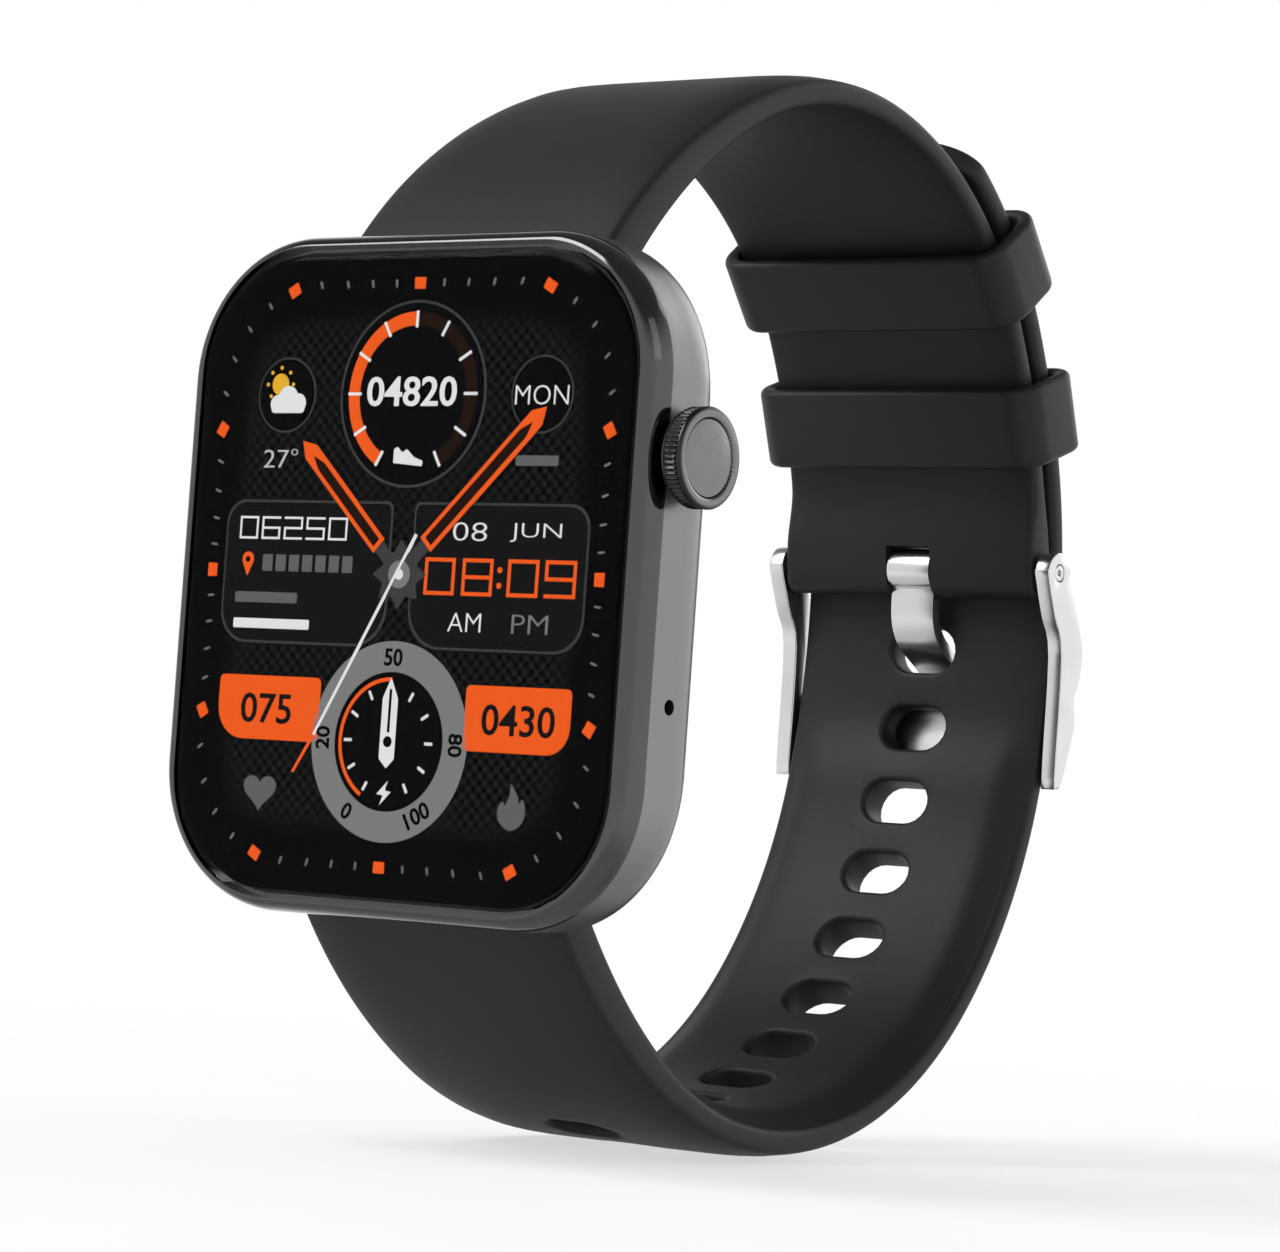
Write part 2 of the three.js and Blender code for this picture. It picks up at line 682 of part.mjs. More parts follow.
// Short strap: from the twelve o'clock bar to the buckle pin.
function buckleStrap() {
  const swell = (s) => 0.7 * smooth((s - upperLength + 7) / 5); // thicker round the pin, on the wrist side
  const thickness = (s) => {
    const { middle, edge } = strapThickness(s);
    return { middle: middle + swell(s), edge: edge + 2 * swell(s) };
  };
  const lowered = upperPath.map((station) => shifted(station, -swell(station.s) / 2));
  const rings = [
    ...noseRings(lowered[0], thickness(0), -1),
    ...lowered.map((station) => strapRing(station, thickness(station.s))),
    ...noseRings(lowered.at(-1), thickness(upperLength), 1),
  ];
  const pinHole = rod('x', -15, 15, pinHoleRadius, [pinAt.y, pinAt.z], 16);
  const half = tongueWidth / 2 + 0.35;
  const tongueSlot = box([-half, pinAt.y - 4, 0], [half, pinAt.y + 4, pinAt.z + 1.75]);
  return cut(loft(rings), ...barCutters(1), pinHole, tongueSlot);
}

// Long strap: from the six o'clock bar, through the buckle, to the free tail.
function holeStrap() {
  const length = longPath.at(-1).s;
  const tip = 4;
  const rings = [
    ...noseRings(longPath[0], strapThickness(0), -1),
    ...longPath.filter((station) => station.s < length - tip).map((station) => (
      strapRing(station, strapThickness(station.s))
    )),
    ...[0, 0.35, 0.62, 0.82, 0.94, 0.99].map((reach) => {
      const station = stationAt(longPath, length - tip + tip * reach);
      const halfWidth = strapWidth / 2 * Math.sqrt(1 - reach * reach);
      return strapRing(station, strapThickness(station.s), halfWidth, 1 - 0.6 * reach ** 6);
    }),
  ];
  const cutters = [];
  for (let i = -holesBelow; i <= holesAbove; i += 1) {
    cutters.push(holeCutter(longPath, tongueHoleAt + i * holePitch));
  }
  return cut(loft(rings), ...barCutters(-1), ...cutters);
}

// Band round both layers of strap, standing square to the path.
function keeper(at) {
  const station = stationAt(upperPath, at);
  const insideWide = strapWidth + 2 * keeperRoom.side;
  const insideDeep = strapThin + layerPitch + 2 * keeperRoom.face;
  const rounded = (target, width, depth, corner) => {
    const [w, d] = [width / 2, depth / 2];
    target.moveTo(-w + corner, -d);
    target.lineTo(w - corner, -d);
    target.absarc(w - corner, -d + corner, corner, -Math.PI / 2, 0, false);
    target.lineTo(w, d - corner);
    target.absarc(w - corner, d - corner, corner, 0, Math.PI / 2, false);
    target.lineTo(-w + corner, d);
    target.absarc(-w + corner, d - corner, corner, Math.PI / 2, Math.PI, false);
    target.lineTo(-w, -d + corner);
    target.absarc(-w + corner, -d + corner, corner, Math.PI, Math.PI * 1.5, false);
    return target;
  };
  const bevel = 0.3;
  const trim = 2 * (keeperWall - bevel);
  const shape = rounded(new THREE.Shape(), insideWide + trim, insideDeep + trim, 1.5);
  shape.holes.push(rounded(new THREE.Path(), insideWide, insideDeep, 0.8));
  const band = new THREE.ExtrudeGeometry(shape, {
    depth: keeperSpan - 2 * bevel,
    bevelThickness: bevel,
    bevelSize: bevel,
    bevelSegments: 1,
    curveSegments: 3,
  });
  band.translate(0, 0, -keeperSpan / 2 + bevel);
  const along = new THREE.Vector3(0, Math.cos(station.heading), Math.sin(station.heading));
  const across = new THREE.Vector3(1, 0, 0);
  const normal = new THREE.Vector3().crossVectors(along, across);
  band.applyMatrix4(new THREE.Matrix4().makeBasis(across, normal, along));
  const centre = shifted(station, layerPitch / 2);
  band.translate(0, centre.y, centre.z);
  return band;
}

function buildStrap() {
  place('buckle_strap', buckleStrap(), 'silicone');
  place('hole_strap', holeStrap(), 'silicone');
  place('keeper_upper', keeper(keeperUpperAt), 'silicone');
  place('keeper_lower', keeper(keeperLowerAt), 'silicone');
}

// ---- Buckle ----

// Side outline of one arm of the frame, from the eye round the pin down to the crossbar.
function armOutline() {
  const eye = [];
  for (let i = 0; i <= 8; i += 1) {
    const angle = radians(-15 + i * 26);
    eye.push([pinAt.y + 1.5 * Math.cos(angle), pinAt.z + 1.5 * Math.sin(angle)]);
  }
  return [
    ...eye,
    [48.9, 2.4], [50.2, -0.5], [50.3, -9.4], [50.7, -10.1], [51.2, -9.9],
    [52.2, -7.0], [52.6, -5.2], [52.3, -3.6], [52.9, -1.9], [53.1, -0.2], [52.7, 1.2], [51.4, 3.9],
  ];
}

// Curved bar outside the strap, from arm to arm.
function crossbar() {
  const rings = [];
  for (const x of [-11.9, -11.1, -10, -6, 0, 6, 10, 11.1, 11.9]) {
    const bow = 1.5 * (1 - (x / 12.5) ** 8);
    const outline = [
      [50.75, -9.9], [51.35, -9.8], [52.35, -6.6], [52.55, -4.6], [52.2, -3.9], [51.6, -4.1], [51.4, -5.6],
      [50.9, -8.0],
    ];
    rings.push(outline.map(([y, z]) => new THREE.Vector3(x, y + bow, z)));
  }
  return loft(rings);
}

function buckleFrame() {
  const eyes = rod('x', -15, 15, pinHoleRadius, [pinAt.y, pinAt.z], 16);
  const far = plate(armOutline(), -armOutside, -armInside);
  const near = plate(armOutline(), armInside, armOutside);
  return cut(join(far, near, crossbar()), eyes);
}

// Bent strip of even thickness along a centre line in the YZ plane.
function bentStrip(centreLine, thick) {
  const side = (sign) => centreLine.map(([y, z], i) => {
    const before = centreLine[Math.max(0, i - 1)];
    const after = centreLine[Math.min(centreLine.length - 1, i + 1)];
    const length = Math.hypot(after[0] - before[0], after[1] - before[1]);
    const [ty, tz] = [(after[0] - before[0]) / length, (after[1] - before[1]) / length];
    return [y - sign * tz * thick / 2, z + sign * ty * thick / 2];
  });
  return [...side(1), ...side(-1).reverse()];
}

function tongue() {
  const curl = tube('x', -tongueWidth / 2, tongueWidth / 2, pinHoleRadius, 1.6, [pinAt.y, pinAt.z], 16);
  const line = [
    [49.0, 4.35], [49.0, 3.0], [49.15, 1.9], [49.6, 0.9], [50.5, 0.0], [52.7, -1.25], [53.9, -2.2],
    [54.75, -3.5], [55.05, -5.0], [54.85, -7.4], [54.35, -9.6],
  ];
  const blade = plate(bentStrip(line, tongueThick), -tongueWidth / 2, tongueWidth / 2);
  const eye = rod('x', -5, 5, pinHoleRadius, [pinAt.y, pinAt.z], 16);
  return cut(join(curl, blade), eye);
}

function buildBuckle() {
  place('buckle_frame', buckleFrame(), 'steel');
  place('buckle_pin', rod('x', -armOutside + 0.1, armOutside - 0.1, pinRadius, [pinAt.y, pinAt.z], 16), 'steel');
  place('buckle_tongue', tongue(), 'steel');
}

buildCase();
buildInside();
buildCrown();
buildBars();
buildStrap();
buildBuckle();

export default watch;
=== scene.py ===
# Smartwatch: smooth visible pieces, finishes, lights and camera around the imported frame.
# Lengths are in millimetres until a mesh is made.
# +Z is twelve o'clock, the display faces -Y, and the crown is on +X.
import bpy
import bmesh
import json
from math import atan2, cos, hypot, pi, radians, sin, sqrt
from mathutils import Matrix, Vector
from mathutils.geometry import delaunay_2d_cdt


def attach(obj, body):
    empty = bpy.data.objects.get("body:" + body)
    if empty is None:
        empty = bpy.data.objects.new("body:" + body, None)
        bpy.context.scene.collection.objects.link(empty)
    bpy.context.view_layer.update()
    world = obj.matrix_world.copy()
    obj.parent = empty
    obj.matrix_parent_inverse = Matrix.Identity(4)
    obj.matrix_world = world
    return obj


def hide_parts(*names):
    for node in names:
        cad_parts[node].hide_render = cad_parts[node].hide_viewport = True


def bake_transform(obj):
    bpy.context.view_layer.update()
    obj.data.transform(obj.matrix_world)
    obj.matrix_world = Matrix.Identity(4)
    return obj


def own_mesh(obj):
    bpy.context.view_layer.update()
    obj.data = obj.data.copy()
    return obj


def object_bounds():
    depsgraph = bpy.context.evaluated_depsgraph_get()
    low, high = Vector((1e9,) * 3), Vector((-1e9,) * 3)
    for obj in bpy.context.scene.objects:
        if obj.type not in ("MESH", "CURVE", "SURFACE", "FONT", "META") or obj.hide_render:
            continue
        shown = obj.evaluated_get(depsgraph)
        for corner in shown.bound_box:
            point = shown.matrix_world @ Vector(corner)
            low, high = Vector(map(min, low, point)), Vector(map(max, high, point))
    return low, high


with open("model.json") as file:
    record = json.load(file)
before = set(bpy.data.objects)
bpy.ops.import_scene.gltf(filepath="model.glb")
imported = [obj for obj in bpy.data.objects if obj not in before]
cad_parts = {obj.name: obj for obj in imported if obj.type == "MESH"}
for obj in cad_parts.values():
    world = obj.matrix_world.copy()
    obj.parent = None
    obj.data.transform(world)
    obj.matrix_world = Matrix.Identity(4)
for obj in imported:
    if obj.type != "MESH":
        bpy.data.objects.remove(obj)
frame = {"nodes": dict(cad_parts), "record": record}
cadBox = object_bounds()
nodes = frame["nodes"]
mm = 0.001
scene = bpy.context.scene

# Shader maths


class Signal:
    # An output socket that adds its own Math nodes when used in an expression.
    # maths() with no values works on the socket itself.
    def __init__(self, tree, socket):
        self.tree, self.socket = tree, socket

    def maths(self, operation, *values, clamp=False):
        node = self.tree.nodes.new("ShaderNodeMath")
        node.operation = operation
        node.use_clamp = clamp
        for entry, value in zip(node.inputs, values or [self]):
            plug(self.tree, entry, value)
        return Signal(self.tree, node.outputs[0])

    def __add__(self, other):
        return self.maths("ADD", self, other)

    def __sub__(self, other):
        return self.maths("SUBTRACT", self, other)

    def __mul__(self, other):
        return self.maths("MULTIPLY", self, other)

    def __truediv__(self, other):
        return self.maths("DIVIDE", self, other)

    def __radd__(self, other):
        return self.maths("ADD", other, self)

    def __rsub__(self, other):
        return self.maths("SUBTRACT", other, self)

    def __rmul__(self, other):
        return self.maths("MULTIPLY", other, self)

    def clipped(self):
        return self.maths("ADD", self, 0, clamp=True)

    def step(self, low, high):
        # 0 below low, 1 above high, smooth between
        node = self.tree.nodes.new("ShaderNodeMapRange")
        node.interpolation_type = "SMOOTHSTEP"
        for name, value in {"Value": self, "From Min": low, "From Max": high}.items():
            plug(self.tree, node.inputs[name], value)
        return Signal(self.tree, node.outputs[0])


def plug(tree, entry, value):
    if isinstance(value, Signal):
        tree.links.new(value.socket, entry)
    else:
        entry.default_value = value


class Finish:
    # A Principled material with fixed sockets, and one method for every other node.
    def __init__(self, name, **fixed):
        self.material = bpy.data.materials.new(name)
        self.material.use_nodes = True
        self.tree = self.material.node_tree
        self.tree.nodes.clear()
        self.shader = self.tree.nodes.new("ShaderNodeBsdfPrincipled")
        self.output = self.tree.nodes.new("ShaderNodeOutputMaterial")
        self.tree.links.new(self.shader.outputs[0], self.output.inputs[0])
        for key, value in fixed.items():
            self.set(socketNames[key], value)

    def set(self, socket, value):
        plug(self.tree, self.shader.inputs[socket], value)
        return self

    def node(self, kind, settings=None, inputs=None, out=0):
        made = self.tree.nodes.new("ShaderNode" + kind)
        for key, value in (settings or {}).items():
            if key == "stops":
                while len(made.color_ramp.elements) < len(value):
                    made.color_ramp.elements.new(0.5)
                for element, (place, colour) in zip(made.color_ramp.elements, value):
                    element.position, element.color = place, colour
            else:
                setattr(made, key, value)
        for key, value in (inputs or {}).items():
            plug(self.tree, made.inputs[key], value)
        return Signal(self.tree, made.outputs[out])

    def place(self):
        return self.node("TexCoord", out="Object")

    def axes(self):
        # the piece's own X, Y and Z, in millimetres
        found = self.tree.nodes.new("ShaderNodeSeparateXYZ")
        plug(self.tree, found.inputs[0], self.place())
        return [Signal(self.tree, socket) * 1000 for socket in found.outputs]

    def noise(self, grain, detail=3, stretch=(1, 1, 1), out=0):
        # grain is the size of the pattern in millimetres
        at = self.node("Mapping", inputs={"Vector": self.place(), "Scale": stretch})
        values = {"Vector": at, "Scale": 1 / (grain * mm), "Detail": detail, "Roughness": 0.55}
        return self.node("TexNoise", inputs=values, out=out)

    def blend(self, factor, first, second):
        return self.node("Mix", {"data_type": "RGBA"}, {0: factor, 6: first, 7: second}, out=2)

    def bump(self, height, depth, strength=1.0):
        # depth in millimetres
        made = self.node("Bump", inputs={"Height": height, "Distance": depth * mm, "Strength": strength})
        return self.set("Normal", made)


socketNames = {
    "colour": "Base Color", "rough": "Roughness", "metal": "Metallic", "alpha": "Alpha", "ior": "IOR",
    "coat": "Coat Weight", "coatRough": "Coat Roughness", "specular": "Specular IOR Level",
    "glow": "Emission Strength", "glowColour": "Emission Color",
}


def grey(value, tint=1.0):
    return (value, value, value * tint, 1)


# Finishes

# the polished bevel's colour is painted darker than the satin wall, as a dark reflection
caseLook = {"satin": 0.27, "satinRough": 0.3, "polishedPaintedDark": 0.11, "polishedRough": 0.08, "edgeY": -9.15}


def caseFinish(name, polishFrom):
    # blasted side wall with a polished front bevel; the bevel's colour is painted darker than the wall, as a
    # dark reflection
    made = Finish(name, metal=1.0)
    x, y, z = made.axes()
    polish = 1 - y.step(polishFrom - 0.08, polishFrom + 0.08)
    grain = made.noise(0.12, 2)
    cloud = made.noise(6.0, 4)
    worn = made.noise(1.1, 5).step(0.56, 0.74)
    satin = made.blend(cloud, grey(caseLook["satin"] * 0.93), grey(caseLook["satin"] * 1.07, 1.01))
    # painted dark reflection: the bevel's colour is set well below the satin wall's
    polishedPaintedDark = made.blend(cloud, grey(caseLook["polishedPaintedDark"] * 0.9), grey(caseLook["polishedPaintedDark"] * 1.1, 1.02))
    made.set("Base Color", made.blend(polish, satin, polishedPaintedDark))
    satinRough = caseLook["satinRough"] + grain * 0.07 + worn * 0.04
    polishedRough = caseLook["polishedRough"] + cloud * 0.03 + worn * 0.02
    made.set("Roughness", polish * polishedRough + (1 - polish) * satinRough)
    made.bump(grain * (1 - polish), 0.004)
    return made.material


def siliconeFinish(name, shade=0.015, rough=0.5):
    # moulded matte silicone: fine spark texture, faint dust and handling marks
    made = Finish(name, specular=0.3)
    grain = made.noise(0.16, 2)
    smear = made.noise(9.0, 4, stretch=(0.5, 1, 1))
    dust = made.noise(0.9, 6).step(0.6, 0.8)
    tone = made.blend(smear, grey(shade * 0.85), grey(shade * 1.2, 1.03))
    made.set("Base Color", made.blend(dust * 0.25, tone, grey(shade * 2.1)))
    made.set("Roughness", rough + smear * 0.08 + dust * 0.08 - grain * 0.05)
    made.bump(grain, 0.012)
    return made.material


def metalFinish(name, colour, rough, scratch=0.25, stretch=(1, 1, 14), grainSize=2.4, grainDepth=0.0015):
    # turned or polished metal with hairlines and soft fingermarks
    made = Finish(name, metal=1.0)
    hair = made.noise(grainSize, 5, stretch=stretch)
    marks = made.noise(3.5, 3)
    dark = tuple(0.82 * part for part in colour[:3]) + (1,)
    made.set("Base Color", made.blend(marks, dark, colour))
    made.set("Roughness", rough * (1 - scratch / 2) + hair * (rough * scratch) + marks * (rough * 0.5))
    made.bump(hair, grainDepth)
    return made.material


def crownFinish(name):
    # turned end face inside a knurled rim painted near black: painted shade on the knurled side and the lip's
    # outer edge
    made = Finish(name, metal=1.0)
    x, y, z = made.axes()
    across, up = y + 7.8, z - 8.0
    radius = (across * across + up * up).maths("SQRT")
    # the knurled side and the lip's outer ring, where shade is painted
    rim = radius.step(2.9, 3.12)
    turned = (radius * 40).maths("SINE") * (1 - rim)
    marks = made.noise(1.6, 4)
    face = made.blend(marks, grey(0.2), grey(0.26, 1.01))
    # painted shade: the rim is coloured near black, the face keeps the plate's grey
    made.set("Base Color", made.blend(rim, face, grey(0.045)))
    made.set("Roughness", 0.24 + marks * 0.06 + turned * 0.02)
    made.bump(turned, 0.0015)
    return made.material


def plasticFinish(name, colour, rough=0.5, grainSize=0.2, depth=0.01, coat=0.0):
    made = Finish(name, coat=coat, coatRough=0.1)
    grain = made.noise(grainSize, 3)
    patch = made.noise(4.0, 4)
    light = tuple(min(1, 1.25 * part) for part in colour[:3]) + (1,)
    made.set("Base Color", made.blend(patch, colour, light))
    made.set("Roughness", rough - 0.06 + patch * 0.08 + grain * 0.08)
    made.bump(grain, depth)
    return made.material


def boardFinish(name):
    # green solder mask over copper tracks, with tinned pads
    made = Finish(name, coat=0.4, coatRough=0.2)
    x, y, z = made.axes()
    values = {"Vector": made.place(), "Scale": 900.0}
    cells = made.node("TexVoronoi", {"feature": "DISTANCE_TO_EDGE", "distance": "MANHATTAN"}, values)
    tracks = 1 - cells.step(0.05, 0.09)
    spots = {"Vector": made.place(), "Scale": 700.0, "Randomness": 0.6}
    dots = made.node("TexVoronoi", {"feature": "F1"}, spots)
    pads = 1 - dots.step(0.16, 0.2)
    mask = made.blend(made.noise(3.0, 3), (0.006, 0.05, 0.022, 1), (0.01, 0.075, 0.03, 1))
    tracked = made.blend(tracks * 0.7, mask, (0.02, 0.14, 0.05, 1))
    made.set("Base Color", made.blend(pads, tracked, (0.62, 0.6, 0.55, 1)))
    made.set("Metallic", pads)
    made.set("Roughness", 0.42 - pads * 0.15)
    made.bump(tracks + pads, 0.03)
    return made.material


def foilFinish(name):
    # crimped battery pouch
    made = Finish(name, metal=1.0)
    crease = made.noise(1.6, 6)
    made.set("Base Color", made.blend(crease, (0.45, 0.46, 0.47, 1), (0.66, 0.67, 0.69, 1)))
    made.set("Roughness", 0.3 + crease * 0.25)
    made.bump(crease, 0.08)
    return made.material


def meshFinish(name):
    # woven acoustic mesh
    made = Finish(name)
    x, y, z = made.axes()
    weave = (y * 40).maths("SINE") * (z * 40).maths("SINE")
    made.set("Base Color", made.blend((weave + 0.5).clipped(), grey(0.008), grey(0.05)))
    made.set("Roughness", 0.75 - weave * 0.1)
    made.bump(weave, 0.03)
    return made.material


def windowFinish(name):
    # dark tinted lens over the sensors, clearer in its middle rings
    made = Finish(name, coat=1.0, coatRough=0.03)
    x, y, z = made.axes()
    far = (x * x + z * z).maths("SQRT")
    ring = far.step(3.7, 3.9) * (1 - far.step(4.4, 4.6))
    eyes = 1 - far.step(2.9, 3.2)
    tint = made.blend(eyes, (0.006, 0.006, 0.008, 1), (0.022, 0.018, 0.02, 1))
    made.set("Base Color", made.blend(ring, tint, grey(0.0015)))
    made.set("Roughness", 0.06 + made.noise(2.5, 4) * 0.05)
    return made.material


def glowFinish(name, colour, strength=1.0):
    # lit marks of the dial: tiny picture dots vary the light
    made = Finish(name, colour=(0, 0, 0, 1), glow=strength, rough=0.5, specular=0.0)
    x, y, z = made.axes()
    dots = (x * 60).maths("SINE") * (z * 60).maths("SINE")
    lit = made.blend((0.5 + dots * 0.5).clipped(), tuple(0.94 * part for part in colour[:3]) + (1,), colour)
    made.set("Emission Color", lit)
    made.set("Roughness", 0.45 + dots * 0.05)
    return made.material


def groundFinish(name):
    # dark woven ground of the dial, black along the minute track
    threadTurn, halfWide, halfTall = 7.1, 14.9, 17.4
    made = Finish(name, colour=(0, 0, 0, 1), glow=1.0, rough=0.5, specular=0.0)
    x, y, z = made.axes()
    weave = (x * threadTurn).maths("SINE") * (z * threadTurn).maths("SINE")
    threads = (weave * 3 + 0.4).clipped()
    across, up = (x / halfWide).maths("ABSOLUTE"), (z / halfTall).maths("ABSOLUTE")
    edge = across.maths("POWER", across, 7) + up.maths("POWER", up, 7)
    inside = 1 - edge.step(0.45, 1.0)
    made.set("Emission Color", made.blend(threads * inside, grey(0.0006), grey(0.011)))
    made.set("Roughness", 0.5 + weave * 0.05)
    return made.material


finishes = {
    "case": caseFinish("darkPlatedCase", caseLook["edgeY"]),
    "crown": crownFinish("darkPlatedCrown"),
    "silicone": siliconeFinish("strapSilicone"),
    "keeper": siliconeFinish("keeperSilicone", 0.016, 0.46),
    "steel": metalFinish("polishedSteel", (0.88, 0.885, 0.89, 1), 0.19, 0.5, (1, 1, 9)),
    "barSteel": metalFinish("turnedSteel", (0.5, 0.51, 0.52, 1), 0.24, 0.5, (9, 1, 1)),
    "screwSteel": metalFinish("screwSteel", (0.2, 0.2, 0.205, 1), 0.28, 0.4, (1, 1, 1), 0.4),
    "tin": metalFinish("tinnedSheet", (0.55, 0.56, 0.57, 1), 0.33, 0.5, (6, 1, 1)),
    "magnet": metalFinish("nickelPlate", (0.45, 0.46, 0.47, 1), 0.2, 0.4, (1, 1, 1), 1.0),
    "gold": metalFinish("goldPlate", (0.75, 0.5, 0.16, 1), 0.2, 0.4, (1, 1, 1), 0.8),
    "back": plasticFinish("backPlastic", grey(0.014), 0.42, 0.14, 0.012),
    "frame": plasticFinish("framePlastic", grey(0.03), 0.5, 0.25, 0.01),
    "chip": plasticFinish("chipPlastic", grey(0.017), 0.45, 0.1, 0.006),
    "rubber": plasticFinish("sealRubber", grey(0.012), 0.7, 0.3, 0.01),
    "film": plasticFinish("amberFilm", (0.42, 0.16, 0.02, 1), 0.35, 1.2, 0.004, 0.3),
    "emitter": plasticFinish("emitterResin", (0.42, 0.5, 0.3, 1), 0.25, 0.6, 0.004, 0.5),
    "diode": plasticFinish("sensorFace", (0.02, 0.03, 0.035, 1), 0.2, 0.6, 0.003, 0.6),
    "board": boardFinish("greenBoard"),
    "foil": foilFinish("pouchFoil"),
    "mesh": meshFinish("acousticMesh"),
    "window": windowFinish("tintedWindow"),
    "ground": groundFinish("wovenDialGround"),
}
print("finishes made:", len(finishes))

# Mesh helpers


def newMesh(name, points, faces):
    # points in millimetres; faces are turned outwards
    mesh = bpy.data.meshes.new(name)
    mesh.from_pydata([tuple(mm * part for part in point) for point in points], [], faces)
    shaped = bmesh.new()
    shaped.from_mesh(mesh)
    bmesh.ops.recalc_face_normals(shaped, faces=shaped.faces)
    shaped.to_mesh(mesh)
    shaped.free()
    return mesh


def addPiece(name, mesh, finish, body=None, replaced=(), smooth=35):
    piece = bpy.data.objects.new(name, mesh)
    scene.collection.objects.link(piece)
    mesh.materials.clear()
    mesh.materials.append(finishes[finish])
    mesh.shade_smooth()
    mesh.set_sharp_from_angle(angle=radians(smooth))
    if body:
        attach(piece, body)
    if replaced:
        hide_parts(*replaced)
    return piece


def combined(name, mesh, others, operation):
    # boolean of the mesh with each of the others
    body = bpy.data.objects.new(name, mesh)
    scene.collection.objects.link(body)
    tools = []
    for index, other in enumerate(others):
        tool = bpy.data.objects.new(f"{name}Tool{index}", other)
        scene.collection.objects.link(tool)
        tools.append(tool)
        step = body.modifiers.new(f"step{index}", "BOOLEAN")
        step.operation, step.solver, step.object = operation, "EXACT", tool
    view = bpy.context.evaluated_depsgraph_get()
    result = bpy.data.meshes.new_from_object(body.evaluated_get(view))
    for made in [body, *tools]:
        bpy.data.objects.remove(made)
    return result


def carved(name, mesh, cutters):
    return combined(name, mesh, cutters, "DIFFERENCE")


def fused(name, meshes):
    return combined(name, meshes[0], meshes[1:], "UNION")


def rounded(mesh, width, segments=3, angle=30):
    # the mesh with its edges rounded; width in millimetres
    body = bpy.data.objects.new("rounding", mesh)
    scene.collection.objects.link(body)
    edge = body.modifiers.new("round", "BEVEL")
    edge.width, edge.segments, edge.angle_limit = width * mm, segments, radians(angle)
    edge.limit_method, edge.use_clamp_overlap = "ANGLE", True
    view = bpy.context.evaluated_depsgraph_get()
    result = bpy.data.meshes.new_from_object(body.evaluated_get(view))
    bpy.data.objects.remove(body)
    return result


def loftMesh(name, rings):
    # closed skin through rings of equally many points, with a flat cap at each end
    count = len(rings[0])
    faces = [list(range(count)), [(len(rings) - 1) * count + i for i in range(count)]]
    for r in range(len(rings) - 1):
        for i in range(count):
            a, b = r * count + i, r * count + (i + 1) % count
            faces.append([a, b, b + count, a + count])
    return newMesh(name, [point for ring in rings for point in ring], faces)


def tubeMesh(name, rings):
    # rings joined into a closed loop, as round a band
    count, turns = len(rings[0]), len(rings)
    faces = []
    for r in range(turns):
        for i in range(count):
            j, after = (i + 1) % count, (r + 1) % turns
            faces.append([r * count + i, r * count + j, after * count + j, after * count + i])
    return newMesh(name, [point for ring in rings for point in ring], faces)


def roundedRing(width, height, corner, y, segments=24, centre=(0, 0)):
    ring = []
    for quarter, (sx, sz) in enumerate([(1, 1), (-1, 1), (-1, -1), (1, -1)]):
        for i in range(segments + 1):
            angle = (quarter + i / segments) * pi / 2
            x = centre[0] + sx * (width / 2 - corner) + corner * cos(angle)
            z = centre[1] + sz * (height / 2 - corner) + corner * sin(angle)
            ring.append((x, y, z))
    return ring


def slabMesh(width, height, corner, low, high, centre=(0, 0), segments=16):
    return loftMesh("slab", [roundedRing(width, height, corner, y, segments, centre) for y in (low, high)])


def boxMesh(low, high):
    # box between its low and high corners
    corners = [(x, y, z) for x in (low[0], high[0]) for y in (low[1], high[1]) for z in (low[2], high[2])]
    faces = [[0, 1, 3, 2], [4, 6, 7, 5], [0, 4, 5, 1], [2, 3, 7, 6], [0, 2, 6, 4], [1, 5, 7, 3]]
    return newMesh("box", corners, faces)


def latheMesh(name, axis, profile, centre, sides=72, radiusAt=None):
    # profile points are (radius, place along the axis), from one end of the axis to the other
    rings = []
    for radius, along in profile:
        ring = []
        for i in range(sides):
            angle = 2 * pi * i / sides
            r = radiusAt(radius, along, angle) if radiusAt else radius
            u, v = centre[0] + r * cos(angle), centre[1] + r * sin(angle)
            ring.append((along, u, v) if axis == "x" else (u, along, v))
        rings.append(ring)
    return loftMesh(name, rings)


def plateMesh(name, outline, low, high):
    # flat YZ outline with thickness along X
    count = len(outline)
    points = [(x, y, z) for x in (low, high) for y, z in outline]
    faces = [list(range(count)), list(range(count, 2 * count))]
    faces += [[i, (i + 1) % count, count + (i + 1) % count, count + i] for i in range(count)]
    return newMesh(name, points, faces)


def joined(name, meshes):
    shaped = bmesh.new()
    for mesh in meshes:
        shaped.from_mesh(mesh)
    result = bpy.data.meshes.new(name)
    shaped.to_mesh(result)
    shaped.free()
    return result


def spline(points, steps):
    # smooth line through the points, with this many steps between each two
    line = []
    for i in range(len(points) - 1):
        a, b = points[max(0, i - 1)], points[i]
        c, d = points[i + 1], points[min(len(points) - 1, i + 2)]
        for k in range(steps):
            t = k / steps
            line.append(tuple(
                0.5 * (2 * b[n] + (c[n] - a[n]) * t + (2 * a[n] - 5 * b[n] + 4 * c[n] - d[n]) * t * t
                       + (3 * b[n] - a[n] - 3 * c[n] + d[n]) * t ** 3) for n in range(len(b))))
    return line + [tuple(points[-1])]


# Camera and light

cameraPlace = {
    "at": (0.1860, -0.2323, -0.0154), "azimuth": 36.94, "elevation": -2.61, "roll": 3.98, "lens": 126.27,
}


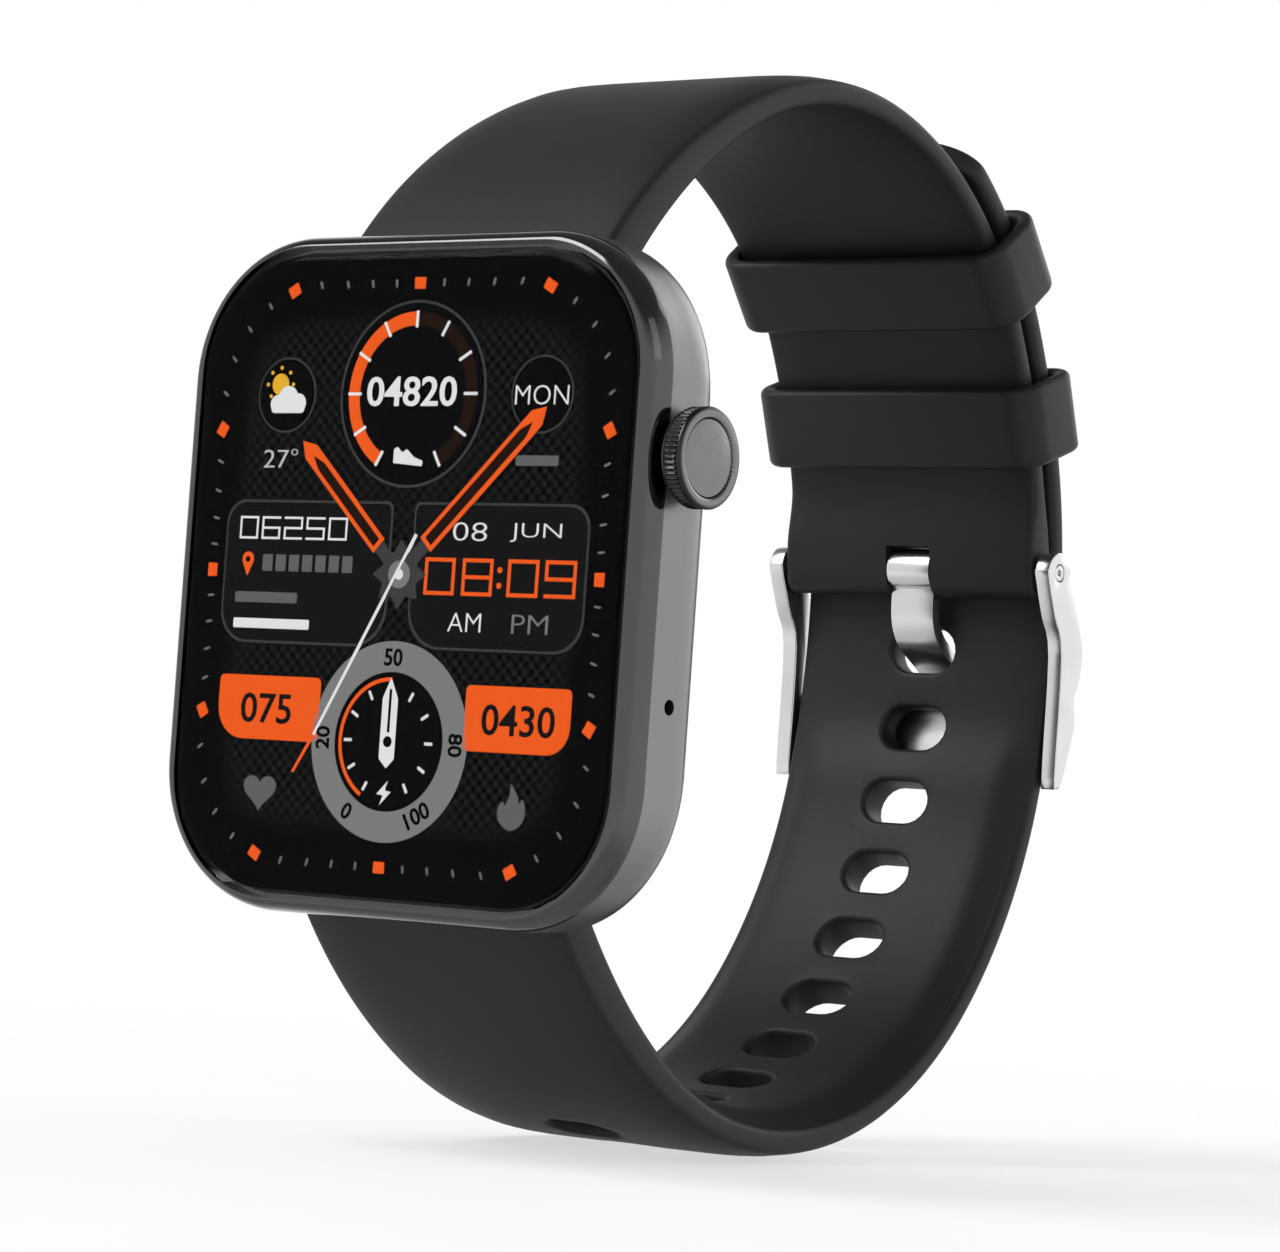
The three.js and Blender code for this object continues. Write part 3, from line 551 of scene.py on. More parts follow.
def addCamera():
    azimuth, elevation, roll = (radians(cameraPlace[key]) for key in ("azimuth", "elevation", "roll"))
    back = Vector((sin(azimuth) * cos(elevation), -cos(azimuth) * cos(elevation), sin(elevation)))
    level = Vector((0, 0, 1)).cross(back).normalized()
    upright = back.cross(level)
    right = level * cos(roll) + upright * sin(roll)
    up = upright * cos(roll) - level * sin(roll)
    camera = bpy.data.cameras.new("viewCamera")
    camera.lens, camera.sensor_width = cameraPlace["lens"], 36
    camera.clip_start, camera.clip_end = 0.01, 20
    holder = bpy.data.objects.new("viewCamera", camera)
    turn = Matrix((right, up, back)).transposed().to_4x4()
    holder.matrix_world = Matrix.Translation(cameraPlace["at"]) @ turn
    scene.collection.objects.link(holder)
    scene.camera = holder


studio = {
    # strength of the light from behind, in front and above, and of what the camera sees
    "backGlow": 0.95, "frontGlow": 0.78, "topGlow": 0.16, "seen": 1.0,
    # softboxes: where they stand, what they aim at, size and power
    "boxes": [
        ((-0.35, -0.45, 0.60), (0, 0.02, 0), 0.45, 3.9),
        ((0.75, 0.10, 0.45), (0, 0.03, 0), 0.40, 0.3),
        ((0.10, 0.75, 0.35), (0, 0.03, 0), 0.50, 1.1),
    ],
}


def addStudio():
    scene.view_settings.view_transform = "Standard"
    world = bpy.data.worlds.new("studio")
    scene.world = world
    world.use_nodes = True
    tree = world.node_tree
    tree.nodes.clear()
    coordinates = tree.nodes.new("ShaderNodeTexCoord")
    split = tree.nodes.new("ShaderNodeSeparateXYZ")
    tree.links.new(coordinates.outputs["Generated"], split.inputs[0])
    x, y, z = (Signal(tree, socket) for socket in split.outputs)
    behind = y.step(-0.35, 0.3)
    level = 1 - (z * z).step(0.04, 0.5)
    band = studio["frontGlow"] + behind * (studio["backGlow"] - studio["frontGlow"])
    glow = level * band + (1 - level) * studio["topGlow"]
    path = Signal(tree, tree.nodes.new("ShaderNodeLightPath").outputs["Is Camera Ray"])
    strength = path * studio["seen"] + (1 - path) * glow
    light = tree.nodes.new("ShaderNodeBackground")
    light.inputs["Color"].default_value = grey(1)
    plug(tree, light.inputs["Strength"], strength)
    end = tree.nodes.new("ShaderNodeOutputWorld")
    tree.links.new(light.outputs[0], end.inputs[0])
    for index, (at, aim, size, power) in enumerate(studio["boxes"]):
        lamp = bpy.data.lights.new(f"softbox{index}", "AREA")
        lamp.shape, lamp.size, lamp.energy = "SQUARE", size, power
        holder = bpy.data.objects.new(f"softbox{index}", lamp)
        holder.location = at
        holder.rotation_mode = "QUATERNION"
        holder.rotation_quaternion = (Vector(aim) - Vector(at)).to_track_quat("-Z", "Y")
        holder.visible_camera = False
        scene.collection.objects.link(holder)


def addFloor():
    # pale round floor that fades out, so no horizon shows
    lowest = cadBox[0].z - 0.0003
    size = 0.9
    floor = bpy.data.meshes.new("floor")
    corners = [(-size, -size, lowest), (size, -size, lowest), (size, size, lowest), (-size, size, lowest)]
    floor.from_pydata(corners, [], [[0, 1, 2, 3]])
    holder = bpy.data.objects.new("floor", floor)
    made = Finish("paleFloor", rough=0.7, glow=0.3, glowColour=(1, 1, 1, 1))
    x, y, z = made.axes()
    far = (x * x + y * y).maths("SQRT")
    made.set("Base Color", made.blend(made.noise(30, 3), grey(0.82), grey(0.86)))
    made.set("Alpha", 0.55 * (1 - far.step(25, 230)))
    floor.materials.append(made.material)
    scene.collection.objects.link(holder)


addCamera()
addStudio()
addFloor()
print("camera, lights and floor placed")

# Case

case = {
    "width": 38.9, "height": 44.6, "corner": 9.6, "rimY": -11.1, "backY": -0.8,
    "bevelDeep": 1.9, "bevelIn": 0.88,
    "glassWidth": 36.3, "glassHeight": 42.6, "glassCorner": 8.3, "barY": -5.0, "barZ": 20.2,
    "recessWidth": 22.8, "recessFloor": 17.9, "recessFront": -7.2,
    # hollows behind the glass: width, height, corner, front and back
    "hollows": [
        (34.0, 40.2, 6.8, -11, -9.001), (33.8, 33.4, 6, -9.5, -4.0), (25.8, 30.4, 7.5, -4.5, -1.9),
        (28.6, 33.0, 5.5, -2.4, 0.5),
    ],
    "glassRoom": 0.3, "barHoleHalf": 12.9, "barHole": 0.7, "screwHole": 0.75, "crownHole": 2.05,
    "microphone": (-7.2, -7.6), "speakerY": -6.4, "speakerZs": (-3, -1, 1, 3), "soundHole": 0.5,
}
crownAxis = (-7.8, 8.0)
screwSpots = [(11.3, 13.7), (-11.3, 13.7), (-11.3, -13.7), (11.3, -13.7)]
chargeSpots = [(-1.7, -12.7), (1.7, -12.7)]


def rodMesh(axis, low, high, radius, centre, sides=32):
    return latheMesh("rod", axis, [(radius, low), (radius, high)], centre, sides)


def caseMesh():
    profile = [(case["rimY"], case["bevelIn"] + 0.12)]
    steps = 10
    for i in range(steps + 1):
        angle = i / steps * pi / 2
        y = case["rimY"] + case["bevelDeep"] * (1 - cos(angle)) + 0.02
        profile.append((y, case["bevelIn"] * (1 - sin(angle))))
    rear = [(-6.2, 0), (-5.2, 0.14), (-4.2, 0.68), (-3.2, 1.42), (-2.2, 2.25), (-1.4, 2.95)]
    rear.append((case["backY"], 3.7))
    profile += spline([(-8.6, 0), (-7.4, 0), *rear], 3)
    rings = []
    for y, inset in profile:
        corner = case["corner"] - inset if y < -8.5 else case["corner"]
        rings.append(roundedRing(case["width"] - 2 * inset, case["height"] - 2 * inset, corner, y, 28))
    outer = loftMesh("case", rings)
    grow = case["glassRoom"]
    rooms = [slabMesh(case["glassWidth"] + grow, case["glassHeight"] + grow, case["glassCorner"] + grow / 2,
                      -12, -10.3, segments=24)]
    rooms += [slabMesh(*hollow) for hollow in case["hollows"]]
    half = case["recessWidth"] / 2
    for side in (1, -1):
        low, high = sorted((side * case["recessFloor"], side * 25))
        rooms.append(boxMesh((-half, case["recessFront"], low), (half, 1, high)))
        reach, bar = case["barHoleHalf"], (case["barY"], side * case["barZ"])
        rooms.append(rodMesh("x", -reach, reach, case["barHole"], bar))
    rooms += [rodMesh("y", -5, -1.4, case["screwHole"], spot, 20) for spot in screwSpots]
    rooms.append(rodMesh("x", 16, 21, case["crownHole"], crownAxis, 48))
    rooms.append(rodMesh("x", 16, 21, case["soundHole"], case["microphone"]))
    rooms += [rodMesh("x", -21, -16, case["soundHole"], (case["speakerY"], z), 24) for z in case["speakerZs"]]
    return carved("case", outer, rooms)


# turned profiles of the back's pieces are (radius, y)
back = {
    "width": 28.2, "height": 32.6, "corner": 5.3,
    "edge": [(-2.0, 0), (-1.2, 0), (-0.98, 0.03), (-0.86, 0.1), (case["backY"], 0.25)],
    "windowHole": [(9.4, -3), (9.4, -0.98), (9.6, -0.7), (9.6, 1)],
    "headRoom": [(1.35, -1.6), (1.35, -0.92), (1.5, -0.75), (1.5, 1)], "chargeHole": 1.0,
    "screw": [(0.6, -4.4), (0.6, -1.5), (1.15, -1.5), (1.15, -1.0), (1.08, -0.89), (0.95, -0.85)],
    "crossLong": 0.85, "crossWide": 0.16, "crossFloor": -1.1,
    "chargePin": [(0.8, -3.6), (0.8, -0.95), (0.76, -0.83), (0.62, -0.74), (0.5, -0.72)],
    "windowRim": [(9.05, -1.7), (9.05, -0.75)], "windowTop": (5.5, 0),
    "windowDome": [(8.95, -0.62), (8.5, -0.35), (7.6, -0.08), (6.8, 0)],
}


def rearCoverMesh():
    rings = []
    for y, inset in back["edge"]:
        wide, tall = back["width"] - 2 * inset, back["height"] - 2 * inset
        rings.append(roundedRing(wide, tall, back["corner"] - inset, y))
    cutters = [latheMesh("hole", "y", back["windowHole"], (0, 0), 96)]
    cutters += [rodMesh("y", -3, 1, back["chargeHole"], spot) for spot in chargeSpots]
    cutters += [rodMesh("y", -3, -1.5, case["screwHole"], spot) for spot in screwSpots]
    cutters += [latheMesh("head", "y", back["headRoom"], spot, 36) for spot in screwSpots]
    return carved("rearCover", loftMesh("cover", rings), cutters)


def screwMesh(spot):
    # cross-headed screw
    x, z = spot
    long, short = back["crossLong"], back["crossWide"]
    slots = []
    for wide, tall in ((long, short), (short, long)):
        slots.append(boxMesh((x - wide, back["crossFloor"], z - tall), (x + wide, 0, z + tall)))
    return carved("screw", latheMesh("screw", "y", back["screw"], spot, 36), slots)


addPiece("watchCase", caseMesh(), "case", "case", ["case_shell"], 28)
addPiece("rearCover", rearCoverMesh(), "back", "case", ["rear_cover"])
for index, spot in enumerate(screwSpots):
    screw = [f"rear_screw_{index + 1}"]
    addPiece(f"rearScrew{index + 1}", screwMesh(spot), "screwSteel", "case", screw)
windowProfile = [*back["windowRim"], *spline(back["windowDome"], 5), back["windowTop"]]
windowMesh = latheMesh("window", "y", windowProfile, (0, 0), 96)
addPiece("sensorWindow", windowMesh, "window", "case", ["sensor_window"])
for index, spot in enumerate(chargeSpots):
    mesh = latheMesh("pin", "y", back["chargePin"], spot, 36)
    addPiece(f"chargePin{index + 1}", mesh, "gold", "case", [f"charge_pin_{index + 1}"])
print("case and back made")

# Glass and dial

glassLook = {
    "alpha": 0.05, "inside": -11.16, "wall": 0.35,
    # edge of the glass: y and how far in from its outline
    "edge": [(-10.72, 0), (-10.95, 0), (case["rimY"], 0.12), (-11.36, 0.45), (-11.56, 1.0), (-11.65, 1.75)],
    "middle": (-11.66, 4.5),
}
# how far forward each layer of ink stands
dialLevels = {
    "ground": -10.98, "fill": -11.0, "line": -11.02, "mark": -11.04, "hand": -11.06, "cap": -11.08,
    "tip": -11.1,
}
# each ink's colour and how strongly it is lit
inkColours = {
    "orange": ((1.0, 0.125, 0.014, 1), 0.95), "white": ((0.88, 0.89, 0.9, 1), 0.95),
    "grey": ((0.23, 0.23, 0.235, 1), 0.95), "dim": ((0.052, 0.052, 0.055, 1), 1.0),
    "faint": ((0.13, 0.13, 0.135, 1), 1.0), "dark": ((0.006, 0.006, 0.0065, 1), 1.0),
    "black": ((0.0012, 0.0012, 0.0012, 1), 1.0), "brown": ((0.016, 0.006, 0.0035, 1), 1.0),
    "pale": ((0.6, 0.6, 0.61, 1), 0.95), "yellow": ((0.9, 0.5, 0.03, 1), 0.95),
}
for inkName, (inkColour, inkStrength) in inkColours.items():
    finishes[f"ink{inkName.title()}"] = glowFinish(f"{inkName}Ink", inkColour, inkStrength)


def glassFinish():
    # clear hard glass; only its reflections and a little haze show
    made = Finish("hardGlass", colour=(0.002, 0.002, 0.003, 1), alpha=glassLook["alpha"], ior=1.6)
    smear = made.noise(7.0, 5, stretch=(1, 1, 0.6))
    made.set("Roughness", 0.03 + smear * 0.05)
    made.bump(smear, 0.002)
    return made.material


finishes["glass"] = glassFinish()


def coverGlassMesh():
    rings = []
    for y, inset in [*spline(glassLook["edge"], 4), glassLook["middle"]]:
        corner = case["glassCorner"] - min(inset, 4)
        wide, tall = case["glassWidth"] - 2 * inset, case["glassHeight"] - 2 * inset
        rings.append(roundedRing(wide, tall, corner, y, 24))
    wall = glassLook["wall"]
    room = slabMesh(case["glassWidth"] - 2 * wall, case["glassHeight"] - 2 * wall, case["glassCorner"] - wall,
                    glassLook["inside"], -10.5, segments=24)
    return carved("coverGlass", loftMesh("glass", rings), [room])


def disc(x, z, radius, sides=40):
    return [(x + radius * cos(2 * pi * i / sides), z + radius * sin(2 * pi * i / sides)) for i in range(sides)]


def arcBand(x, z, inner, outer, start, end, sides=40):
    # degrees, clockwise from twelve o'clock
    turns = [radians(start + (end - start) * i / sides) for i in range(sides + 1)]
    line = [(x + outer * sin(a), z + outer * cos(a)) for a in turns]
    return line + [(x + inner * sin(a), z + inner * cos(a)) for a in reversed(turns)]


def stroke(x0, z0, x1, z1, wide, endWide=None):
    long = hypot(x1 - x0, z1 - z0)
    u, v = (z1 - z0) / long / 2, -(x1 - x0) / long / 2
    last = wide if endWide is None else endWide
    return [(x0 + u * wide, z0 + v * wide), (x1 + u * last, z1 + v * last),
            (x1 - u * last, z1 - v * last), (x0 - u * wide, z0 - v * wide)]


def panel(low, high, corners=(0.2, 0.2, 0.2, 0.2)):
    # box from its low to its high corner; corner radii from top right, anticlockwise
    loop = []
    spots = [
        (high[0], high[1], 1, 1), (low[0], high[1], -1, 1), (low[0], low[1], -1, -1), (high[0], low[1], 1, -1),
    ]
    for quarter, ((x, z, sx, sz), r) in enumerate(zip(spots, corners)):
        for i in range(9):
            angle = (quarter + i / 8) * pi / 2
            loop.append((x - sx * r + r * cos(angle), z - sz * r + r * sin(angle)))
    return loop


inkDrops = {name: [] for name in inkColours}


def ink(colour, level, *loops):
    # each loop becomes a thin closed plate, from inside the ground to its level
    for loop in loops:
        count = len(loop)
        points = [(x, y, z) for y in (dialLevels["ground"] + 0.01, dialLevels[level]) for x, z in loop]
        faces = [list(range(count)), list(range(count, 2 * count))]
        faces += [[i, (i + 1) % count, count + (i + 1) % count, count + i] for i in range(count)]
        inkDrops[colour].append(newMesh("ink", points, faces))


def inkText(colour, level, words, x, z, wide, tall, bold=0.0, turn=0):
    letters = bpy.data.curves.new("letters", "FONT")
    letters.body, letters.offset, letters.extrude, letters.resolution_u = words, bold, 0.5, 3
    holder = bpy.data.objects.new("letters", letters)
    scene.collection.objects.link(holder)
    view = bpy.context.evaluated_depsgraph_get()
    mesh = bpy.data.meshes.new_from_object(holder.evaluated_get(view))
    bpy.data.objects.remove(holder)
    us, vs = [v.co.x for v in mesh.vertices], [v.co.y for v in mesh.vertices]
    back, front = dialLevels["ground"] + 0.01, dialLevels[level]
    for v in mesh.vertices:
        across = ((v.co.x - min(us)) / (max(us) - min(us)) - 0.5) * wide
        up = ((v.co.y - min(vs)) / (max(vs) - min(vs)) - 0.5) * tall
        c, s = cos(radians(turn)), sin(radians(turn))
        depth = front if v.co.z > 0 else back
        v.co = (mm * (x + across * c - up * s), mm * depth, mm * (z + across * s + up * c))
    mesh.flip_normals()
    inkDrops[colour].append(mesh)


# which of the seven strokes light up: top, upper right, lower right, bottom, lower left, upper left, middle
segments = {"0": "abcdef", "2": "abged", "5": "afgcd", "6": "afgedc", "8": "abcdefg", "9": "abcdfg"}


def squaredDigit(colour, level, digit, x, z, wide, tall, line):
    # digit drawn with straight strokes, its low left corner at x, z
    left, right, low, middle, top = x, x + wide, z, z + tall / 2, z + tall
    strokes = {
        "a": (left, top - line, right, top), "g": (left, middle - line / 2, right, middle + line / 2),
        "d": (left, low, right, low + line), "f": (left, middle, left + line, top),
        "b": (right - line, middle, right, top),
        "e": (left, low, left + line, middle), "c": (right - line, low, right, middle),
    }
    for key in segments[digit]:
        a, b, c, d = strokes[key]
        ink(colour, level, [(a, b), (c, b), (c, d), (a, d)])


def crossing(x, z, dx, dz, long, wide, endWide):
    # stroke centred on x, z along the direction dx, dz
    reach = long / 2
    return stroke(x + dx * reach, z + dz * reach, x - dx * reach, z - dz * reach, wide, endWide)


track = {"half": (16.2, 18.9), "corner": 7.8, "hourLong": 0.75, "minuteLong": 0.5}


def minuteTrack():
    (halfX, halfZ), corner = track["half"], track["corner"]
    for minute in range(60):
        angle = radians(minute * 6)
        dx, dz = sin(angle), cos(angle)
        far = min(halfX / max(1e-6, abs(dx)), halfZ / max(1e-6, abs(dz)))
        x, z = far * dx, far * dz
        cx, cz = halfX - corner, halfZ - corner
        if abs(x) > cx and abs(z) > cz:
            # meet the rounded corner instead of the straight side
            px, pz = cx * (1 if dx > 0 else -1), cz * (1 if dz > 0 else -1)
            along = dx * px + dz * pz
            far = along + sqrt(max(0, along * along - px * px - pz * pz + corner * corner))
            x, z = far * dx, far * dz
        if minute % 5 == 0:
            ink("orange", "mark", crossing(x, z, dx, dz, track["hourLong"], 0.9, 0.85))
        else:
            ink("grey", "line", crossing(x, z, dx, dz, track["minuteLong"], 0.14, 0.14))


def hourTicks(x, z, hours, outer, inner):
    for hour in hours:
        u, v = sin(radians(hour * 30)), cos(radians(hour * 30))
        ink("white", "hand", stroke(x + outer * u, z + outer * v, x + inner * u, z + inner * v, 0.2))


def topDial():
    x, z = 0, 11.7
    ink("dim", "fill", disc(x, z, 6.1, 64))
    ink("black", "line", disc(x, z, 5.92, 64))
    ink("orange", "mark", arcBand(x, z, 4.45, 5.35, -150, 0))
    ink("brown", "mark", arcBand(x, z, 4.45, 5.35, 2, 150))
    hourTicks(x, z, range(-5, 6), 5.4, 4.3)
    inkText("white", "cap", "04820", -0.05, 11.85, 7.5, 1.95, 0.012)
    ink("white", "mark", [
        (-1.2, 7.2), (1.2, 7.0), (1.25, 7.35), (0.5, 7.6), (-0.1, 8.1), (-0.5, 7.9), (-0.9, 8.25), (-1.2, 8.1)])


def sideCircles():
    for x in (-10.75, 10.65):
        ink("dim", "fill", disc(x, 11.65, 2.5))
        ink("black", "line", disc(x, 11.65, 2.38))
    ink("yellow", "mark", disc(-11.35, 12.35, 0.72, 24))
    for i in range(8):
        a = radians(45 * i)
        ink("yellow", "mark", disc(-11.35 + 1.1 * sin(a), 12.35 + 1.1 * cos(a), 0.13, 10))
    for x, z, r in ((-11.5, 11.05, 0.6), (-10.6, 11.4, 0.85), (-9.7, 11.1, 0.65)):
        ink("white", "hand", disc(x, z, r, 20))
    ink("white", "hand", panel((-12.0, 10.45), (-9.15, 11.1), (0.3,) * 4))
    inkText("pale", "mark", "27°", -10.9, 7.45, 2.9, 1.25, -0.014)
    inkText("white", "mark", "MON", 10.65, 11.6, 4.3, 1.25, -0.014)
    ink("faint", "mark", panel((8.9, 7.1), (12.3, 7.75), (0.1,) * 4))


def middlePanels():
    for side in (-1, 1):
        low, high = sorted((side * 0.9, side * 15.2))
        corners = [0.5, 1.5, 2.2, 2.6] if side < 0 else [1.5, 0.5, 2.6, 2.2]
        ink("dim", "fill", panel((low, -4.75), (high, 4.7), corners))
        ink("dark", "line", panel((low + 0.16, -4.6), (high - 0.16, 4.54), corners))
    x = -14.0
    for digit in "06250":
        squaredDigit("white", "mark", digit, x, 2.1, 1.6, 1.5, 0.15)
        x += 1.93
    ink("orange", "mark", disc(-13.1, 0.75, 0.5, 20), [(-13.55, 0.55), (-13.1, -0.35), (-12.65, 0.55)])
    ink("black", "hand", disc(-13.1, 0.75, 0.2, 16))
    for i in range(7):
        ink("faint", "mark", panel((-11.8 + i * 1.15, 0.0), (-10.95 + i * 1.15, 1.1), (0.08,) * 4))
    ink("faint", "mark", panel((-14.0, -2.1), (-8.6, -1.4), (0.12,) * 4))
    ink("white", "mark", panel((-14.0, -3.8), (-7.4, -3.15), (0.12,) * 4))
    inkText("white", "mark", "08", 5.6, 2.85, 2.8, 1.2, -0.014)
    inkText("white", "mark", "JUN", 10.95, 2.85, 4.1, 1.2, -0.014)
    for place, digit in zip((2.1, 5.2, 8.9, 11.9), "0809"):
        squaredDigit("orange", "mark", digit, place, -1.25, 2.5, 2.4, 0.25)
    ink("orange", "mark", disc(8.25, 0.45, 0.2, 12), disc(8.25, -0.55, 0.2, 12))
    inkText("white", "mark", "AM", 5.65, -2.95, 2.7, 1.2, -0.014)
    inkText("grey", "mark", "PM", 10.95, -2.95, 2.9, 1.2, -0.014)


def bottomDial():
    x, z = 0.05, -10.8
    ink("grey", "fill", disc(x, z, 6.5, 64))
    ink("black", "mark", disc(x, z, 4.5, 64))
    for words, tx, tz, wide, turn in (
            ("50", 0, -5.35, 1.5, 0), ("20", -5.5, -10.75, 1.5, 90), ("80", 5.6, -10.8, 1.5, -90),
            ("0", -3.05, -15.4, 0.75, -30), ("100", 2.85, -15.4, 2.1, 30)):
        inkText("black", "mark", words, tx, tz, wide, 1.15, 0.02, turn)
    ink("orange", "hand", arcBand(x, z, 3.9, 4.15, -150, 0))
    hourTicks(x, z, range(12), 3.7, 3.05)
    ink("white", "cap", [(0, -6.7), (0.65, -8.0), (0.65, -11.9), (0.05, -12.5), (-0.6, -11.9), (-0.6, -8.0)])
    ink("black", "tip", disc(x, z, 0.36, 20), stroke(x, -7.4, x, -10.2, 0.2))
    ink("white", "hand", [
        (0.3, -13.3), (-0.6, -14.2), (-0.05, -14.25), (-0.3, -14.9), (0.6, -14.0), (0.05, -13.95)])


def sidePanels():
    ink("orange", "fill", panel((-14.8, -11.1), (-6.0, -6.9), (0.4, 0.4, 2.2, 0.4)))
    ink("orange", "fill", panel((6.2, -11.1), (14.7, -6.9), (0.4, 0.4, 0.4, 1.8)))
    inkText("dark", "line", "075", -10.6, -9.05, 4.4, 2.0, 0.012)
    inkText("dark", "line", "0430", 10.55, -9.05, 5.9, 2.0, 0.012)
    heart = []
    for i in range(36):
        t = 2 * pi * i / 36
        u = 16 * sin(t) ** 3
        v = 13 * cos(t) - 5 * cos(2 * t) - 2 * cos(3 * t) - cos(4 * t)
        heart.append((-10.65 + u * 0.087, -14.45 + v * 0.08))
    ink("faint", "mark", heart)
    flame = spline([
        (10.35, -13.0), (10.9, -13.7), (11.1, -14.25), (11.35, -13.95), (11.6, -14.7), (11.35, -15.5),
        (10.5, -15.95), (9.65, -15.5), (9.4, -14.75), (9.75, -14.15), (9.95, -14.4), (10.3, -13.8),
        (10.35, -13.0)], 4)[:-1]
    ink("faint", "mark", flame)


def hands():
    # hour and minute hands: tip, length, start and half width
    for tip, long, start, half in (((-9.0, 8.6), 12.4, 2.6, 0.62), ((11.1, 10.85), 15.5, 2.8, 0.64)):
        u, v = tip[0] / long, tip[1] / long
        channel = ("brown", "cap", half - 0.29, start + 0.3, long - 1.4)
        for colour, level, wide, low, high in (("orange", "hand", half, start, long), channel):
            across = (-v * wide, u * wide)
            a, b = (u * low, v * low), (u * (high - 1.0), v * (high - 1.0))
            ink(colour, level, [
                (a[0] + across[0], a[1] + across[1]), (b[0] + across[0], b[1] + across[1]),
                (u * high, v * high),
                (b[0] - across[0], b[1] - across[1]), (a[0] - across[0], a[1] - across[1])])
        ink("dim", "hand", stroke(u * 0.8, v * 0.8, u * start, v * start, 0.9))
    star = []
    for i in range(16):
        r = 2.25 if i % 2 == 0 else 1.5
        star.append((r * sin(i * pi / 8), r * cos(i * pi / 8)))
    ink("dim", "hand", star)
    ink("white", "tip", stroke(1.2, 2.6, -6.3, -10.6, 0.2, 0.14))
    ink("orange", "tip", stroke(-6.3, -10.6, -7.9, -13.1, 0.16, 0.1))
    ink("grey", "cap", disc(0, 0, 0.9, 28))
    ink("white", "tip", disc(0, 0, 0.35, 20))


minuteTrack()
topDial()
sideCircles()
middlePanels()
bottomDial()
sidePanels()
hands()
groundIn = 0.45
ground = slabMesh(case["glassWidth"] - 2 * groundIn, case["glassHeight"] - 2 * groundIn,
                  case["glassCorner"] - groundIn, dialLevels["ground"], -10.0)
addPiece("dialGround", ground, "ground", "case", ["display_panel"])
for inkName, drops in inkDrops.items():
    name = f"dial{inkName.title()}"
    addPiece(name, joined(name, drops), f"ink{inkName.title()}", "case")
addPiece("coverGlass", coverGlassMesh(), "glass", "case", ["cover_glass"], 40)
print("glass and dial made")

# Crown

crownLook = {
    "radius": 3.2, "ridges": 60, "ridgeDepth": 0.13, "knurlFrom": 20.42, "knurlTo": 21.32, "stemRoom": 1.0,
    # end disc: radius and place along X
    "disc": [(2.47, 21.28), (2.47, 21.56), (2.42, 21.62), (2.3, 21.65), (1.2, 21.69), (0.3, 21.7)],
}


def knurl(radius, along, angle):
    if not crownLook["knurlFrom"] <= along <= crownLook["knurlTo"]:
        return radius
    wave = abs(((angle * crownLook["ridges"] / (2 * pi)) % 1) * 2 - 1)
    return radius - crownLook["ridgeDepth"] * (1 - wave) ** 0.8


def crownCapMesh():
    r = crownLook["radius"]
    profile = [
        (2.6, 20.1), (2.95, 20.12), (3.05, 20.2), (3.07, 20.34),
        (r - 0.16, 20.36), (r - 0.12, 20.4), (r, 20.46),
        (r, 20.75), (r, 21.05), (r, 21.28), (r - 0.12, 21.33), (2.98, 21.34), (2.98, 21.4), (r - 0.04, 21.42),
        (r + 0.02, 21.47), (r + 0.02, 21.6), (r - 0.03, 21.69), (r - 0.15, 21.745),
        (2.7, 21.75), (2.58, 21.72), (2.54, 21.66), (2.54, 21.3),
    ]
    room = rodMesh("x", 19, 20.9, crownLook["stemRoom"], crownAxis)
    return carved("crown", latheMesh("crown", "x", profile, crownAxis, crownLook["ridges"] * 6, knurl), [room])


addPiece("crownCap", crownCapMesh(), "crown", "crown", ["crown_cap"], 50)
discMesh = latheMesh("crownDisc", "x", crownLook["disc"], crownAxis, 96)
addPiece("crownDisc", discMesh, "crown", "crown", ["crown_disc"])
print("crown made")

# Strap

# upper and lower are arcs from the case's bars: length in millimetres and turn in degrees
strap = {
    "width": 22.0, "gap": 0.25, "thin": 2.1, "edgeThin": 1.4, "caseMiddle": 3.7, "caseEdge": 2.9,
    "fillet": 0.4, "swell": 0.8, "pinSwell": 0.7,
    "upper": ([21.6, -32.4], [37.3, -84.6], [19.3, -23.1]), "upperHeading": 56.4,
    "lower": ([15.9, 22.8], [39.4, 81.5], [18.8, 30.3]), "lowerHeading": -56.2,
    "tailTip": 44.3, "tipLength": 4.0, "barHole": 1.0,
    "pinHole": 83.9, "pitch": 6.03, "holesBelow": 10, "holesAbove": 4, "holeLong": 5.5, "holeShort": 3.4,
}
pin = (49.15, 5.6)


def arcPath(start, heading, legs, step=0.4):
    # stations are (y, z, heading, distance)
    y, z, heading, s = start[0], start[1], radians(heading), 0.0
    path = [(y, z, heading, s)]
    for length, turn in legs:
        steps = int(length / step) + 1
        for _ in range(steps):
            bend = radians(turn) / steps
            middle = heading + bend / 2
            y += length / steps * cos(middle)
            z += length / steps * sin(middle)
            heading += bend
            s += length / steps
            path.append((y, z, heading, s))
    return path


def pathAt(path, s):
    # station at distance s, carried straight on beyond the ends
    if s <= 0 or s >= path[-1][3]:
        y, z, heading, end = path[0] if s <= 0 else path[-1]
        return (y + (s - end) * cos(heading), z + (s - end) * sin(heading), heading, s)
    low, high = 0, len(path) - 1
    while high - low > 1:
        middle = (low + high) // 2
        if path[middle][3] < s:
            low = middle
        else:
            high = middle
    a, b = path[low], path[high]
    t = (s - a[3]) / (b[3] - a[3])
    return tuple(a[n] + (b[n] - a[n]) * t for n in range(4))


def moved(station, distance):
    y, z, heading, s = station
    return (y - distance * sin(heading), z + distance * cos(heading), heading, s)


upperPath = arcPath((case["barY"], case["barZ"]), strap["upperHeading"], strap["upper"])
upperLength = upperPath[-1][3]
layerPitch = strap["thin"] + strap["gap"]


